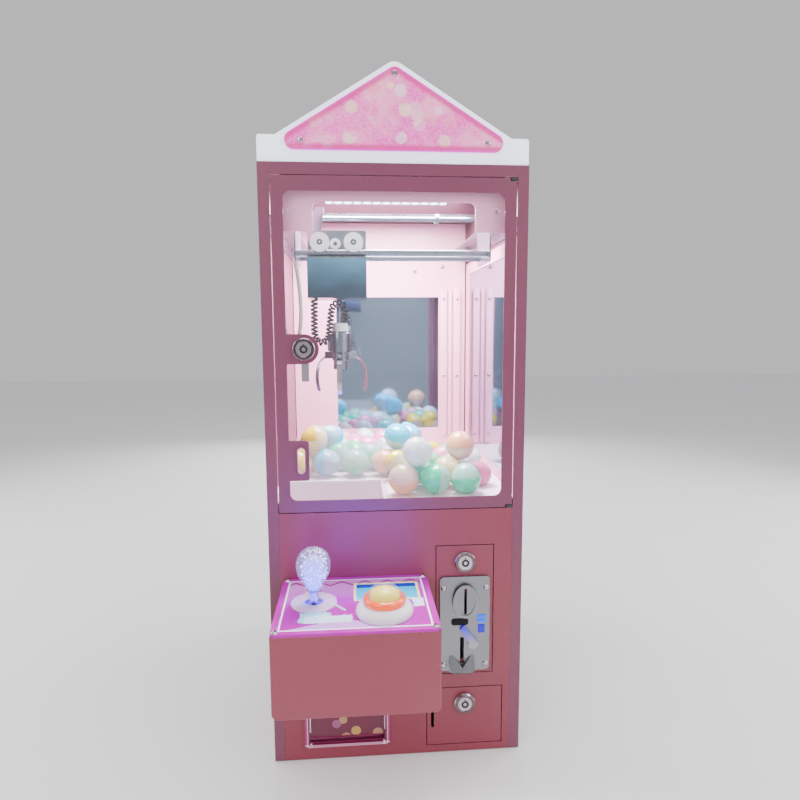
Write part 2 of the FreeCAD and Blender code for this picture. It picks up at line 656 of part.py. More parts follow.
def cash_box():
    x0 = CASH_X - 46
    x1 = CASH_X + 42
    outer = block(x0, x1, 24, 150, FOOT_H + SHEET + SEAT, CASH_Z0 + CASH_H + 4)
    inner = block(x0 + SHEET, x1 - SHEET, 24 + SHEET, 150 - SHEET, FOOT_H + 2 * SHEET + SEAT,
                  CASH_Z0 + CASH_H + 5)
    grip = rounded(block(CASH_X - 18, CASH_X + 18, 23, 27, 30, 46), 7.0, "y")
    return cut(outer, inner, grip)


# ---- prize opening -------------------------------------------------------------------------------
def prize_frame():
    x0 = PRIZE_X - PRIZE_W / 2
    x1 = PRIZE_X + PRIZE_W / 2
    top = PRIZE_Z0 + PRIZE_H
    rim = PRIZE_RIM
    bezel = rounded(block(x0, x1, -3.0, -SEAT, PRIZE_Z0, top), 4.0, "y")
    sleeve = block(x0 + rim + SEAT, x1 - rim - SEAT, -3.0, CHUTE_D0 - 1, PRIZE_Z0 + rim + SEAT,
                   top - rim - SEAT)
    hole = block(x0 + rim + SHEET, x1 - rim - SHEET, -4, CHUTE_D0, PRIZE_Z0 + rim + SHEET,
                 top - rim - SHEET)
    lip = side_prism([(-9, PRIZE_Z0 + rim - 2), (-3, PRIZE_Z0 + rim - 5), (-3, PRIZE_Z0 + rim)],
                     x0 + rim, x1 - rim)
    x, d, z = flap_axis()
    return cut(join(cut(join(bezel, sleeve), hole), lip),
               bar(PIN_R + RUN_CLEAR, 2 * HALF_W, -HALF_W, d, z, "x"))


def flap_axis():
    """The prize flap's hinge line, as the x of its left end, its depth and its z."""
    return (PRIZE_X - PRIZE_W / 2 + PRIZE_RIM, FLAP_D, PRIZE_Z0 + PRIZE_H - PRIZE_RIM - 6.0)


def prize_flap():
    x, d, z = flap_axis()
    left = x + SHEET + 1.0
    right = 2 * PRIZE_X - left
    low = PRIZE_Z0 + PRIZE_RIM + SHEET + 2.0
    plate = block(left, right, d - FLAP_T / 2, d + FLAP_T / 2, low, z)
    knuckle = bar(2.8, right - left, left, d, z, "x")
    pins = bar(PIN_R, right - left + 2 * (SHEET + 0.5), left - SHEET - 0.5, d, z, "x")
    return join(plate, knuckle, pins)


def prize_chute():
    """A sheet duct from the hole in the deck down to the prize opening, with a sloping floor."""
    t = CHUTE_WALL
    low = PRIZE_Z0
    top = DECK_Z - SHEET - SEAT
    x0 = CHUTE_X0 + 0.5
    duct = block(x0, CHUTE_X1, CHUTE_D0, CHUTE_D1, low, top)
    hollow = block(x0 + t, CHUTE_X1 - t, CHUTE_D0 + t, CHUTE_D1 - t, low - 1, top + 1)
    rim = PRIZE_RIM
    outlet = block(PRIZE_X - PRIZE_W / 2 + rim + SHEET, PRIZE_X + PRIZE_W / 2 - rim - SHEET,
                   CHUTE_D0 - 1, CHUTE_D0 + t + 1, low + rim + SHEET, low + PRIZE_H - rim - SHEET)
    start = low + 5.0
    rise = 0.33 * (CHUTE_D1 - CHUTE_D0)
    floor = side_prism([(CHUTE_D0 + t, start), (CHUTE_D1 - t, start + rise),
                        (CHUTE_D1 - t, start + rise + t), (CHUTE_D0 + t, start + t)],
                       x0 + t, CHUTE_X1 - t)
    return join(cut(duct, hollow, outlet), floor)


# ---- playfield -----------------------------------------------------------------------------------
def playfield_deck():
    z0 = DECK_Z - SHEET
    ledge = DOOR_Z0 - SEAM
    deck = block(-IN_X, IN_X, DECK_FRONT, BACK_IN - SEAT, z0, DECK_Z)
    front = block(-IN_X + 13, IN_X - 13, DECK_FRONT, DECK_FRONT + SHEET, ledge + SEAT, DECK_Z)
    left = block(-IN_X, SHEET - IN_X, DECK_FRONT + 8, BACK_IN - SEAT, ledge - 10, DECK_Z)
    right = block(IN_X, IN_X - SHEET, DECK_FRONT + 8, BACK_IN - SEAT, ledge - 10, DECK_Z)
    hole = block(CHUTE_X0 + 0.5, CHUTE_X1, CHUTE_D0, CHUTE_D1, z0 - 1, DECK_Z + 1)
    return cut(join(deck, front, left, right), hole)


def chute_guard():
    """A clear L-shaped fence beside and behind the chute hole."""
    z0 = DECK_Z + SEAT
    side = block(CHUTE_X1 + 0.5, CHUTE_X1 + 0.5 + GUARD_T, CHUTE_D0, CHUTE_D1 + 0.5 + GUARD_T,
                 z0, DECK_Z + GUARD_H)
    rear = block(-IN_X + 2, CHUTE_X1 + 0.5 + GUARD_T, CHUTE_D1 + 0.5, CHUTE_D1 + 0.5 + GUARD_T,
                 z0, DECK_Z + GUARD_H)
    return join(side, rear)


def mirrors():
    """The back mirror and the right-hand mirror."""
    low = DECK_Z + SEAT + 8
    back = block(-88, 110, BACK_IN - SEAT - MIRROR_T, BACK_IN - SEAT, DECK_Z + 27, MIRROR_Z1 + 6)
    side = block(IN_X - SEAT - MIRROR_T, IN_X - SEAT, 34, 352, low, RAIL_Z - 30)
    return group(back, side)


def interior_trim():
    """Inside sheets: back mirror frame, right mirror frame and the front valance."""
    d1 = BACK_IN - 2 * SEAT - MIRROR_T
    back = block(-IN_X + 1, IN_X - 6, d1 - LINER_T, d1, DECK_Z + SEAT, CAB_H - SHEET - 4)
    back = cut(back, block(-82, 104, 300, 380, DECK_Z + 33, MIRROR_Z1))
    x1 = IN_X - 2 * SEAT - MIRROR_T
    side = block(x1 - LINER_T, x1, 26, 366, DECK_Z + SEAT, RAIL_Z - 24)
    side = cut(side, block(100, 200, 46, 340, DECK_Z + 14, RAIL_Z - 42))
    z1 = CAB_H - SHEET - SEAT
    leg_z = 672.0
    front = block(-135, 135, 15, 15 + SHEET, leg_z, z1)
    window = block(-98.5, 98.5, 14, 18, leg_z - 20, 707)
    window = rounded(window, 8.0, "y")
    front = cut(front, window, bar(3, 5, -125, 13, 697, "y"), bar(3, 5, 125, 13, 697, "y"))
    return group(back, side, front)


def led_strips():
    """Lamp bars under the roof and one inside the header."""
    z = CAB_H - SHEET - SEAT
    bars = [block(-90, 90, d, d + 12, z - 5, z) for d in (22, 190)]
    sides = [block(x, x + 10, 60, 170, z - 5, z) for x in (-118, -98)]
    post = ART_T + 1.0 + HEADER_D - HEADER_WALL
    board = block(-110, 110, post - 3, post, CAB_H + 10, CAB_H + 22)
    return group(*bars, *sides, board)


def capsule_places():
    """Centres of the two layers of prize capsules, clear of the chute and of the claw's hollow."""
    step = 2 * CAPSULE_R + CAPSULE_GAP
    row = step * math.sqrt(3) / 2
    z1 = DECK_Z + CAPSULE_R + CAPSULE_GAP
    rise = math.sqrt(step * step - step * step / 3)
    hollow_x = CLAW_X + TROLLEY_TRAVEL
    hollow_d = CLAW_D + GANTRY_TRAVEL
    hollow_r = 54.0
    x_min = -IN_X + CAPSULE_R + 2
    x_max = IN_X - CAPSULE_R - MIRROR_T - LINER_T - 2
    d_min = DECK_FRONT + CAPSULE_R + 5
    d_max = BACK_IN - CAPSULE_R - MIRROR_T - LINER_T - 2
    fence_x = CHUTE_X1 + GUARD_T + CAPSULE_R + 1.5
    fence_d = CHUTE_D1 + GUARD_T + CAPSULE_R + 1.5

    def free(x, d):
        inside = x_min <= x <= x_max and d_min <= d <= d_max
        fenced = x < fence_x and d < fence_d
        hollow = math.hypot(x - hollow_x, d - hollow_d) < hollow_r
        return inside and not fenced and not hollow

    lower = []
    for i in range(20):
        for k in range(20):
            x = fence_x + (k - 8) * step + (i % 2) * step / 2
            d = d_min + i * row
            if free(x, d):
                lower.append((x, d, z1))
    upper = []
    for x, d, z in lower:
        a = (x + step, d)
        b = (x + step / 2, d + row)
        seats = [p for p in lower if math.hypot(p[0] - a[0], p[1] - a[1]) < 0.1
                 or math.hypot(p[0] - b[0], p[1] - b[1]) < 0.1]
        spot = (x + step / 2, d + row / 3, z + rise)
        if len(seats) == 2 and free(spot[0], spot[1]):
            upper.append(spot)
    return lower, upper


def capsule(x, d, z, turn):
    """One hollow capsule of two half shells, its seam tipped by turn degrees."""
    at = Vector(x, FRONT + d, z)
    shell = Part.makeSphere(CAPSULE_R, at).cut(Part.makeSphere(CAPSULE_R - CAPSULE_WALL, at))
    half = 2 * CAPSULE_R
    slab = Part.makeBox(half, half, half, Vector(x - CAPSULE_R, FRONT + d - CAPSULE_R, z + 0.05))
    under = Part.makeBox(half, half, half,
                         Vector(x - CAPSULE_R, FRONT + d - CAPSULE_R, z - 0.05 - half))
    lid = shell.common(slab)
    base = shell.common(under)
    for part in (lid, base):
        part.rotate(at, Vector(math.cos(turn), math.sin(turn), 0), turn * 57)
    return group(base, lid)


def capsules():
    lower, upper = capsule_places()
    stacked = [place for place in upper if place[1] < STACK_D]
    shells = []
    for i, (x, d, z) in enumerate(lower + stacked[::3]):
        shells.append(capsule(x, d, z, 1.7 * i % 6.2))
    return group(*shells)


# ---- control box -----------------------------------------------------------------------------------
def control_screws():
    inset = 5.0
    return [(x, d) for x in (BOX_X0 + inset, BOX_X0 + BOX_W - inset)
            for d in (PANEL_D[0] + inset, PANEL_D[1] - inset)]


def control_box():
    x0 = BOX_X0
    x1 = BOX_X0 + BOX_W
    top = BOX_Z0 + BOX_H
    outer = block(x0, x1, -BOX_OUT, -SEAT, BOX_Z0, top)
    low = [e for e in outer.Edges if abs(e.CenterOfMass.z - BOX_Z0) < 0.1
           and abs(abs(e.tangentAt(0).y) - 1) < 1e-6]
    outer = outer.makeFillet(BOX_R, low)
    front = [e for e in outer.Edges if abs(e.CenterOfMass.y - FRONT + BOX_OUT) < 0.1
             and abs(e.CenterOfMass.z - BOX_Z0 - BOX_H / 2) < 6]
    outer = outer.makeFillet(2.0, front)
    inner = block(x0 + SHEET, x1 - SHEET, SHEET - BOX_OUT, 0, BOX_Z0 + BOX_R, top + 1)
    inner = inner.fuse(block(x0 + BOX_R, x1 - BOX_R, SHEET - BOX_OUT, 0, BOX_Z0 + SHEET, top + 1))
    posts = [block(x - 5, x + 5, d - 5, d + 5, top - 12, top) for x, d in control_screws()]
    shell = cut(outer, inner)
    for post in posts:
        shell = shell.fuse(post.common(block(x0 + 1, x1 - 1, 1 - BOX_OUT, -SEAT, 0, top)))
    return cut(shell.removeSplitter(),
               *[bar(1.6, 20, x, d, top - 10, "z") for x, d in control_screws()])


def control_panel():
    top = BOX_Z0 + BOX_H
    plate = block(BOX_X0, BOX_X0 + BOX_W, PANEL_D[0], PANEL_D[1], top + 0.05, PANEL_TOP)
    plate = rounded(plate, PANEL_R, "z")
    lcd = block(LCD_X - LCD_W / 2, LCD_X + LCD_W / 2, -LCD_OUT - LCD_D / 2, -LCD_OUT + LCD_D / 2,
                top - 1, PANEL_TOP + 1)
    return cut(plate, lcd, bar(13.0, 10, STICK_X, -STICK_OUT, top - 1, "z"),
               bar(14.2, 10, BUTTON_X, -BUTTON_OUT, top - 1, "z"),
               *[bar(1.7, 10, x, d, top - 1, "z") for x, d in control_screws()])


def lcd_display():
    top = BOX_Z0 + BOX_H
    glass = block(LCD_X - LCD_W / 2 + SEAT, LCD_X + LCD_W / 2 - SEAT, SEAT - LCD_OUT - LCD_D / 2,
                  LCD_D / 2 - LCD_OUT - SEAT, top - 3, PANEL_TOP - 0.4)
    board = block(LCD_X - LCD_W / 2 - 4, LCD_X + LCD_W / 2 + 4, -LCD_OUT - LCD_D / 2 - 4,
                  LCD_D / 2 - LCD_OUT + 4, top - 5, top - 0.4)
    return join(glass, board)


def joystick_base():
    """The joystick's body under the panel, with the bores for its gimbal's two pins."""
    top = BOX_Z0 + BOX_H - SEAT
    half = 30.0
    block_ = block(STICK_X - half, STICK_X + half, -STICK_OUT - half, half - STICK_OUT,
                   STICK_Z - 16, top)
    well = bar(21.0, 60, STICK_X, -STICK_OUT, STICK_Z - 13, "z")
    bore = bar(2.0 + RUN_CLEAR, 52, STICK_X - 26, -STICK_OUT, STICK_Z, "x")
    return cut(block_, well, bore)


def joystick_gimbal():
    z0 = STICK_Z - 3.0
    hoop = tube(15.0, 10.0, 6.0, STICK_X, -STICK_OUT, z0, "z")
    left = bar(2.0, 12, STICK_X - 25, -STICK_OUT, STICK_Z, "x")
    right = bar(2.0, 12, STICK_X + 13, -STICK_OUT, STICK_Z, "x")
    bore = bar(1.8 + RUN_CLEAR, 34, STICK_X, -STICK_OUT - 17, STICK_Z, "y")
    return cut(join(hoop, left, right), bore)


def joystick_stick():
    low = STICK_Z - 9.0
    neck = PANEL_TOP + 19.0
    profile = [(0, low), (4, low), (4, STICK_Z - 4), (6, STICK_Z - 4), (6, STICK_Z + 4),
               (4, STICK_Z + 5), (4, PANEL_TOP + 6.4), (5.5, PANEL_TOP + 6.9), (5.5, PANEL_TOP + 15),
               (NECK_R, PANEL_TOP + 15.5), (NECK_R, neck + 16), (0, neck + 16)]
    pin = bar(1.8, 28, STICK_X, -STICK_OUT - 14, STICK_Z, "y")
    return join(turned(profile, STICK_X, -STICK_OUT), pin)


def joystick_knob():
    z = PANEL_TOP + 15.7
    bore = NECK_R + KNOB_FIT
    profile = [(bore, z), (8, z), (10.5, z + 3), (12.5, z + 10), (16.5, z + 16), (19.4, z + 24),
               (19.8, z + 30), (18.6, z + 37), (15, z + 43.5), (9.5, z + 48), (3, z + 49.8),
               (0, z + 50), (0, z + 19.4), (bore, z + 19.4)]
    return turned(profile, STICK_X, -STICK_OUT)


def joystick_disc():
    """The dust disc that lies on the panel round the stick."""
    z = PANEL_TOP + SEAT
    return turned([(DISC_BORE, z), (26, z), (26, z + 1), (DISC_BORE + 2, z + 2.2),
                   (DISC_BORE, z + 2.2)],
                  STICK_X, -STICK_OUT)


def button_housing():
    """The round button's body: a sloped white base, its lamp ring and the threaded barrel."""
    z = PANEL_TOP
    bore = 11.0
    base = turned([(12.0, z + 0.1), (32, z + 0.1), (32, z + 2), (26, z + 10), (23, z + 12),
                   (19.5, z + 12), (19.5, z + 5), (12.0, z + 5)], BUTTON_X, -BUTTON_OUT)
    barrel = tube(14.0, bore, 42, BUTTON_X, -BUTTON_OUT, z - 37, "z")
    ring = turned([(19.6, z + 12.2), (23.2, z + 12.2), (23.2, z + 16), (21.2, z + 19.2),
                   (19.6, z + 19.2)], BUTTON_X, -BUTTON_OUT)
    nut = tube(19.0, 13.9, 6, BUTTON_X, -BUTTON_OUT, z - PANEL_T - 6.5, "z")
    return group(join(base, barrel, nut), ring)


def button_plunger():
    z = PANEL_TOP
    profile = [(0, z - 20), (10.7, z - 20), (10.7, z + 10), (17.5, z + 10), (18.6, z + 20),
               (17, z + 25), (12, z + 29), (6, z + 31), (0, z + 31.5)]
    return turned(profile, BUTTON_X, -BUTTON_OUT)


def electronics():
    """The power supply and the control board on the cabinet's floor."""
    z = FOOT_H + SHEET + SEAT
    supply = block(-40, 60, 250, 350, z, z + 38)
    post = [tube(3, 1.5, 6, x, d, z, "z") for x in (-130, -60) for d in (250, 340)]
    board = block(-135, -55, 245, 345, z + 6, z + 7.6)
    chips = block(-115, -75, 270, 310, z + 7.6, z + 20)
    return group(supply, join(board, chips, *post))


# ---- crane -----------------------------------------------------------------------------------------
def side_rails():
    """The two angle rails the gantry's wheels run on."""
    rails = []
    for side in (-1, 1):
        edge = side * (IN_X - SEAT)
        shelf = block(edge, side * RAIL_IN, 30, 366, RAIL_Z - RAIL_T, RAIL_Z)
        web = block(edge, edge - side * RAIL_T, 30, 366, RAIL_Z - 16, RAIL_Z)
        rails.append(join(shelf, web))
    return group(*rails)


def gantry_frame():
    """End plates, the two round rods, a tie bar and the front skids."""
    d0 = GANTRY_D0
    d1 = GANTRY_D0 + GANTRY_LEN
    top = WHEEL_Z + 10.0
    solids = []
    for side in (-1, 1):
        x = side * PLATE_X
        plate = block(x, x + side * PLATE_T, d0, d1, PLATE_Z0, top)
        plate = rounded(plate, 6.0, "x")
        skid = block(x + side * PLATE_T, x + side * (PLATE_T + 11), d0 + 4, d0 + 20,
                     RAIL_Z + 0.1, RAIL_Z + 10)
        plate = join(plate, skid)
        plate = cut(plate, bar(SHAFT_R + RUN_CLEAR, 20, x - 10, SHAFT_D, WHEEL_Z, "x"))
        solids.append(plate)
    for d in ROD_D:
        solids.append(bar(ROD_R, 2 * PLATE_X, -PLATE_X, d, ROD_Z, "x"))
    solids.append(block(-PLATE_X, PLATE_X, d1 - 8, d1 - 4, top - 8, top - 2))
    return group(*solids)


def gantry_drive_shaft():
    """The cross shaft with its two rubber-tyred wheels."""
    reach = PLATE_X + PLATE_T
    shaft = bar(SHAFT_R, 2 * (reach + 3 + WHEEL_W), -reach - 3 - WHEEL_W, SHAFT_D, WHEEL_Z, "x")
    left = bar(WHEEL_R, WHEEL_W, -reach - 3 - WHEEL_W, SHAFT_D, WHEEL_Z, "x")
    right = bar(WHEEL_R, WHEEL_W, reach + 3, SHAFT_D, WHEEL_Z, "x")
    gear = bar(6.5, 5, 60, SHAFT_D, WHEEL_Z, "x")
    return join(shaft, left, right, gear)


def trolley_frame():
    """The trolley's floor, its two upright plates and the tall bracket, bored for the axles."""
    x0 = TROLLEY_X - TROLLEY_W / 2
    x1 = TROLLEY_X + TROLLEY_W / 2
    t = TROLLEY_T
    d0 = GANTRY_D0 + 3
    d1 = GANTRY_D0 + GANTRY_LEN - 3
    floor = block(x0, x1, d0, d1, FLOOR_Z, FLOOR_Z + t)
    inner = ROLLER_W / 2 + 2.5
    plate_f = block(x0, x1, ROD_D[0] + inner, ROD_D[0] + inner + t, FLOOR_Z, ROLLER_Z + 16)
    plate_b = block(x0, x1, ROD_D[1] - inner - t, ROD_D[1] - inner, FLOOR_Z, ROLLER_Z + 16)
    tall_top = CAB_H - 40.0
    tall = front_prism([(x0, FLOOR_Z), (x0 + 12, FLOOR_Z), (x0 + 22, tall_top), (x0 + 10, tall_top),
                        (x0, ROLLER_Z + 16)],
                       ROD_D[0] + inner, ROD_D[0] + inner + t)
    body = join(floor, plate_f, plate_b, tall)
    bores = [bar(2.5 + RUN_CLEAR, 2 * CLAW_D, TROLLEY_X + s * ROLLER_STEP, 0, ROLLER_Z, "y")
             for s in (-1, 1)]
    return cut(body, *bores, bar(2.0 + RUN_CLEAR, 2 * CLAW_D, SPOOL_X, 0, SPOOL_Z, "y"),
               bar(3.0, 20, CLAW_X, CLAW_D, FLOOR_Z - 5, "z"))


def trolley_cover():
    """The bright open-topped box that hides the trolley's motors."""
    x0 = TROLLEY_X - TROLLEY_W / 2
    x1 = TROLLEY_X + TROLLEY_W / 2
    d0 = GANTRY_D0 + 4
    d1 = GANTRY_D0 + GANTRY_LEN - 4
    top = FLOOR_Z - SEAT
    low = top - COVER_H
    outer = block(x0, x1, d0, d1, low, top)
    inner = block(x0 + 1, x1 - 1, d0 + 1, d1 - 1, low + 1, top + 1)
    motors = [bar(11.0, 40, TROLLEY_X - 20, d, top - 16, "x") for d in (d0 + 16, d1 - 16)]
    cups = [block(TROLLEY_X - 6, TROLLEY_X + 6, d - 6, d + 6, low + 0.5, top - 14)
            for d in (d0 + 16, d1 - 16)]
    body = join(cut(outer, inner, bar(6.0, 10, CLAW_X, CLAW_D, low - 5, "z")), *motors, *cups)
    return body


def trolley_wheels(side):
    """One axle with a grooved roller on each rod. side is -1 for left."""
    x = TROLLEY_X + side * ROLLER_STEP
    half = ROLLER_W / 2
    rim = ROLLER_R + ROLLER_RIM
    body = bar(2.5, ROD_SPAN + ROLLER_W, x, ROD_D[0] - half, ROLLER_Z, "y")
    for d in ROD_D:
        wheel = bar(rim, ROLLER_W, x, d - half, ROLLER_Z, "y")
        groove = Part.makeTorus(ROLLER_R + ROD_R + RUN_CLEAR, ROD_R + RUN_CLEAR,
                                Vector(x, FRONT + d, ROLLER_Z), AXES["y"])
        body = join(body, cut(wheel, groove))
    return body


def winch_spool():
    d0 = ROD_D[0] + 3
    length = ROD_D[1] - ROD_D[0] - 6
    axle = bar(2.0, length, SPOOL_X, d0, SPOOL_Z, "y")
    drum = bar(SPOOL_R, 16, SPOOL_X, CLAW_D - 8, SPOOL_Z, "y")
    cheeks = [bar(8.0, 2, SPOOL_X, d, SPOOL_Z, "y") for d in (CLAW_D - 10, CLAW_D + 8)]
    front = bar(6.8, 3, SPOOL_X, d0, SPOOL_Z, "y")
    return join(axle, drum, front, *cheeks)


def claw_body():
    """The claw's coil can with its cap, three forks for the prongs and the ferrule below."""
    top = CLAW_TOP
    core = turned([(0, top), (9.5, top), (9.5, top - 12), (14, top - 14), (14, top - 38),
                   (11, top - 39), (11, top - 49), (9.5, top - 50), (9.5, top - 61), (0, top - 61)],
                  CLAW_X, CLAW_D)
    body = core
    half = PRONG_W / 2 + RUN_CLEAR + 0.2
    for azimuth in prong_turns():
        fork = [block(CLAW_X + 9, CLAW_X + PRONG_PIVOT_R + 3, CLAW_D + s, CLAW_D + s + 1.5,
                      PRONG_PIVOT_Z - 3, PRONG_PIVOT_Z + 6) for s in (half, -half - 1.5)]
        pin = bar(PIN_R, 2 * half + 2, CLAW_X + PRONG_PIVOT_R, CLAW_D - half - 1, PRONG_PIVOT_Z,
                  "y")
        for part in (*fork, pin):
            part.rotate(Vector(CLAW_X, FRONT + CLAW_D, 0), AXES["z"], azimuth)
            body = body.fuse(part)
    return body.removeSplitter()


def prong_turns():
    """Turns of the three prongs about the claw's axis."""
    return (28.0, 148.0, 268.0)


def prong(azimuth):
    """A curved strip that hangs from its pivot, drawn toward +X and then turned."""
    x = CLAW_X + PRONG_PIVOT_R
    z = PRONG_PIVOT_Z
    d = CLAW_D - PRONG_W / 2
    curve = [(0, 1), (6, -1), (13, -7), (18, -16), (20, -27), (19.5, -37), (16.5, -47)]
    outer = [Vector(x + a, FRONT + d, z + b) for a, b in curve]
    inner = [Vector(x + a - PRONG_T * 0.8, FRONT + d, z + b - PRONG_T * 0.6) for a, b in curve]
    line_out = Part.BSplineCurve()
    line_out.interpolate(outer)
    line_in = Part.BSplineCurve()
    line_in.interpolate(inner[::-1])
    wire = Part.Wire([line_out.toShape(), Part.makeLine(outer[-1], inner[-1]),
                      line_in.toShape(), Part.makeLine(inner[0], outer[0])])
    strip = Part.Face(wire).extrude(Vector(0, PRONG_W, 0))
    knuckle = bar(3.0, PRONG_W, x, d, z, "y")
    body = cut(join(strip, knuckle), bar(PIN_R + RUN_CLEAR, PRONG_W + 2, x, d - 1, z, "y"))
    body.rotate(Vector(CLAW_X, FRONT + CLAW_D, 0), AXES["z"], azimuth)
    return body


# ---- cords -----------------------------------------------------------------------------------------
def run_of(points):
    """A smooth line through corner points: straight runs joined by tangent arcs."""
    corners = [Vector(x, FRONT + d, z) for x, d, z in points]
    edges = []
    radii = []
    start = corners[0]
    for i in range(1, len(corners) - 1):
        before = corners[i - 1] - corners[i]
        after = corners[i + 1] - corners[i]
        half = (math.pi - before.getAngle(after)) / 2
        reach = ARC_SHARE * min(before.Length, after.Length)
        radius = reach / math.tan(half)
        a = corners[i] + Vector(before).normalize() * reach
        b = corners[i] + Vector(after).normalize() * reach
        middle = (Vector(before).normalize() + Vector(after).normalize()).normalize()
        crown = corners[i] + middle * (radius / math.cos(half) - radius)
        edges.append(Part.makeLine(start, a))
        edges.append(Part.Arc(a, crown, b).toShape())
        radii.append(round(radius, 1))
        start = b
    edges.append(Part.makeLine(start, corners[-1]))
    print("bend radii, mm:", radii)
    return Part.Wire(edges)


def cord(points, radius):
    """A round cord along a smooth line. Its volume should match section times length."""
    path = run_of(points)
    first = path.Edges[0]
    start = first.valueAt(first.FirstParameter)
    way = first.tangentAt(first.FirstParameter)
    ring = Part.Wire(Part.makeCircle(radius, start, way))
    made = path.makePipeShell([ring], True, True)
    expected = math.pi * radius ** 2 * path.Length
    print("length", round(path.Length, 1), "mm, volume", round(made.Volume),
          "of", round(expected), "cubic mm")
    return made


def claw_string():
    top = SPOOL_Z
    return bar(0.7, top - CLAW_TOP, CLAW_X, CLAW_D, CLAW_TOP, "z")


def curly_points():
    """The coiled lead hangs from the trolley in a loop and comes over the top of the claw."""
    top = FLOOR_Z - SEAT - COVER_H
    return [(-101, CLAW_D - 14, top - 0.3), (-102, CLAW_D - 14, top - 30),
            (-101, CLAW_D - 14, top - 56), (-84, CLAW_D - 14, top - 56),
            (-81, CLAW_D - 13, top - 26), (-78, CLAW_D - 12, top - 5.5),
            (-61.5, CLAW_D - 4, top - 5.5), (-61.5, CLAW_D - 4, CLAW_TOP + 0.3)]


def curly_cord():
    return cord(curly_points(), 4.5)


def loop_points():
    """The gantry's lead hangs in a narrow loop beside the left end plate."""
    d = GANTRY_D0 + 1
    top = RAIL_Z - RAIL_T - 0.3
    return [(-143, d, top), (-145, d, top - 60), (-138, d, top - 136), (-127, d, top - 162),
            (-116, d, top - 136), (-117, d, top - 82), (-122, d, PLATE_Z0 - 0.6)]


def gantry_cable():
    return cord(loop_points(), 2.4)


# ---- write every node --------------------------------------------------------------------------------
def main():
    os.makedirs(OUT, exist_ok=True)
    nodes = {
        "base_pan": base_pan(), "feet": feet(),
        "side_panels": group(side_panel(-1), side_panel(1)),
        "top_panel": top_panel(), "back_panel": back_panel(), "front_fascia": front_fascia(),
        "power_inlet": power_inlet(),
        "hinge_brackets": group(door_hinge_brackets(), service_hinges()),
        "header_shell": header_shell(), "header_art_panel": header_art_panel(),
        "panel_screws": panel_screws(), "led_strips": led_strips(),
        "door_frame": door_frame(), "door_glass": door_glass(),
        "door_lock_barrel": lock_barrel(LOCK_X, LOCK_Z),
        "door_lock_plug": lock_plug(LOCK_X, LOCK_Z, 40.0, (0, -1)),
        "coin_door": coin_door(), "coin_plate": coin_plate(), "coin_mech": coin_mech(),
        "coin_return_lever": coin_return_lever(),
        "coin_lock_barrel": lock_barrel(COIN_X, COIN_LOCK_Z),
        "coin_lock_plug": lock_plug(COIN_X, COIN_LOCK_Z, 28.0, (-1, 0)),
        "cash_door": cash_door(), "cash_lock_barrel": lock_barrel(CASH_X, CASH_LOCK_Z),
        "cash_lock_plug": lock_plug(CASH_X, CASH_LOCK_Z, 28.0, (-1, 0)),
        "cash_box": cash_box(),
        "prize_frame": prize_frame(), "prize_flap": prize_flap(), "prize_chute": prize_chute(),
        "playfield_deck": playfield_deck(), "chute_guard": chute_guard(), "mirrors": mirrors(),
        "interior_trim": interior_trim(), "capsules": capsules(),
        "control_box": control_box(), "control_panel": control_panel(),
        "lcd_display": lcd_display(), "joystick_base": joystick_base(),
        "joystick_gimbal": joystick_gimbal(), "joystick_stick": joystick_stick(),
        "joystick_knob": joystick_knob(), "joystick_disc": joystick_disc(),
        "button_housing": button_housing(), "button_plunger": button_plunger(),
        "electronics": electronics(), "side_rails": side_rails(),
        "gantry_frame": gantry_frame(), "gantry_drive_shaft": gantry_drive_shaft(),
        "trolley_frame": trolley_frame(), "trolley_cover": trolley_cover(),
        "trolley_wheels_left": trolley_wheels(-1), "trolley_wheels_right": trolley_wheels(1),
        "winch_spool": winch_spool(), "claw_body": claw_body(),
        "claw_string": claw_string(), "curly_cord": curly_cord(), "gantry_cable": gantry_cable(),
    }
    for count, azimuth in enumerate(prong_turns(), 1):
        nodes["prong_" + str(count)] = prong(azimuth)
    for name, shape in nodes.items():
        bad = [s for s in shape.Solids if not s.isValid()]
        print(name, len(shape.Solids), round(shape.Volume / 1000, 2), "BAD" if bad else "")
        save(name, shape)
    print(len(nodes), "nodes")


main()
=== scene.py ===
# %% [markdown]
# # A claw crane machine around its engineering frame
# The frame holds every rigid part at its real size, grouped in bodies that move at the joints.
# This lesson gives those parts their finishes and builds what engineering leaves plain: leads,
# capsules, the lit knob and button, printed panels and lamps. All sizes are in metres.

# %% Load the frame
import bpy
import bmesh
import math
import random
from mathutils import Matrix, Vector


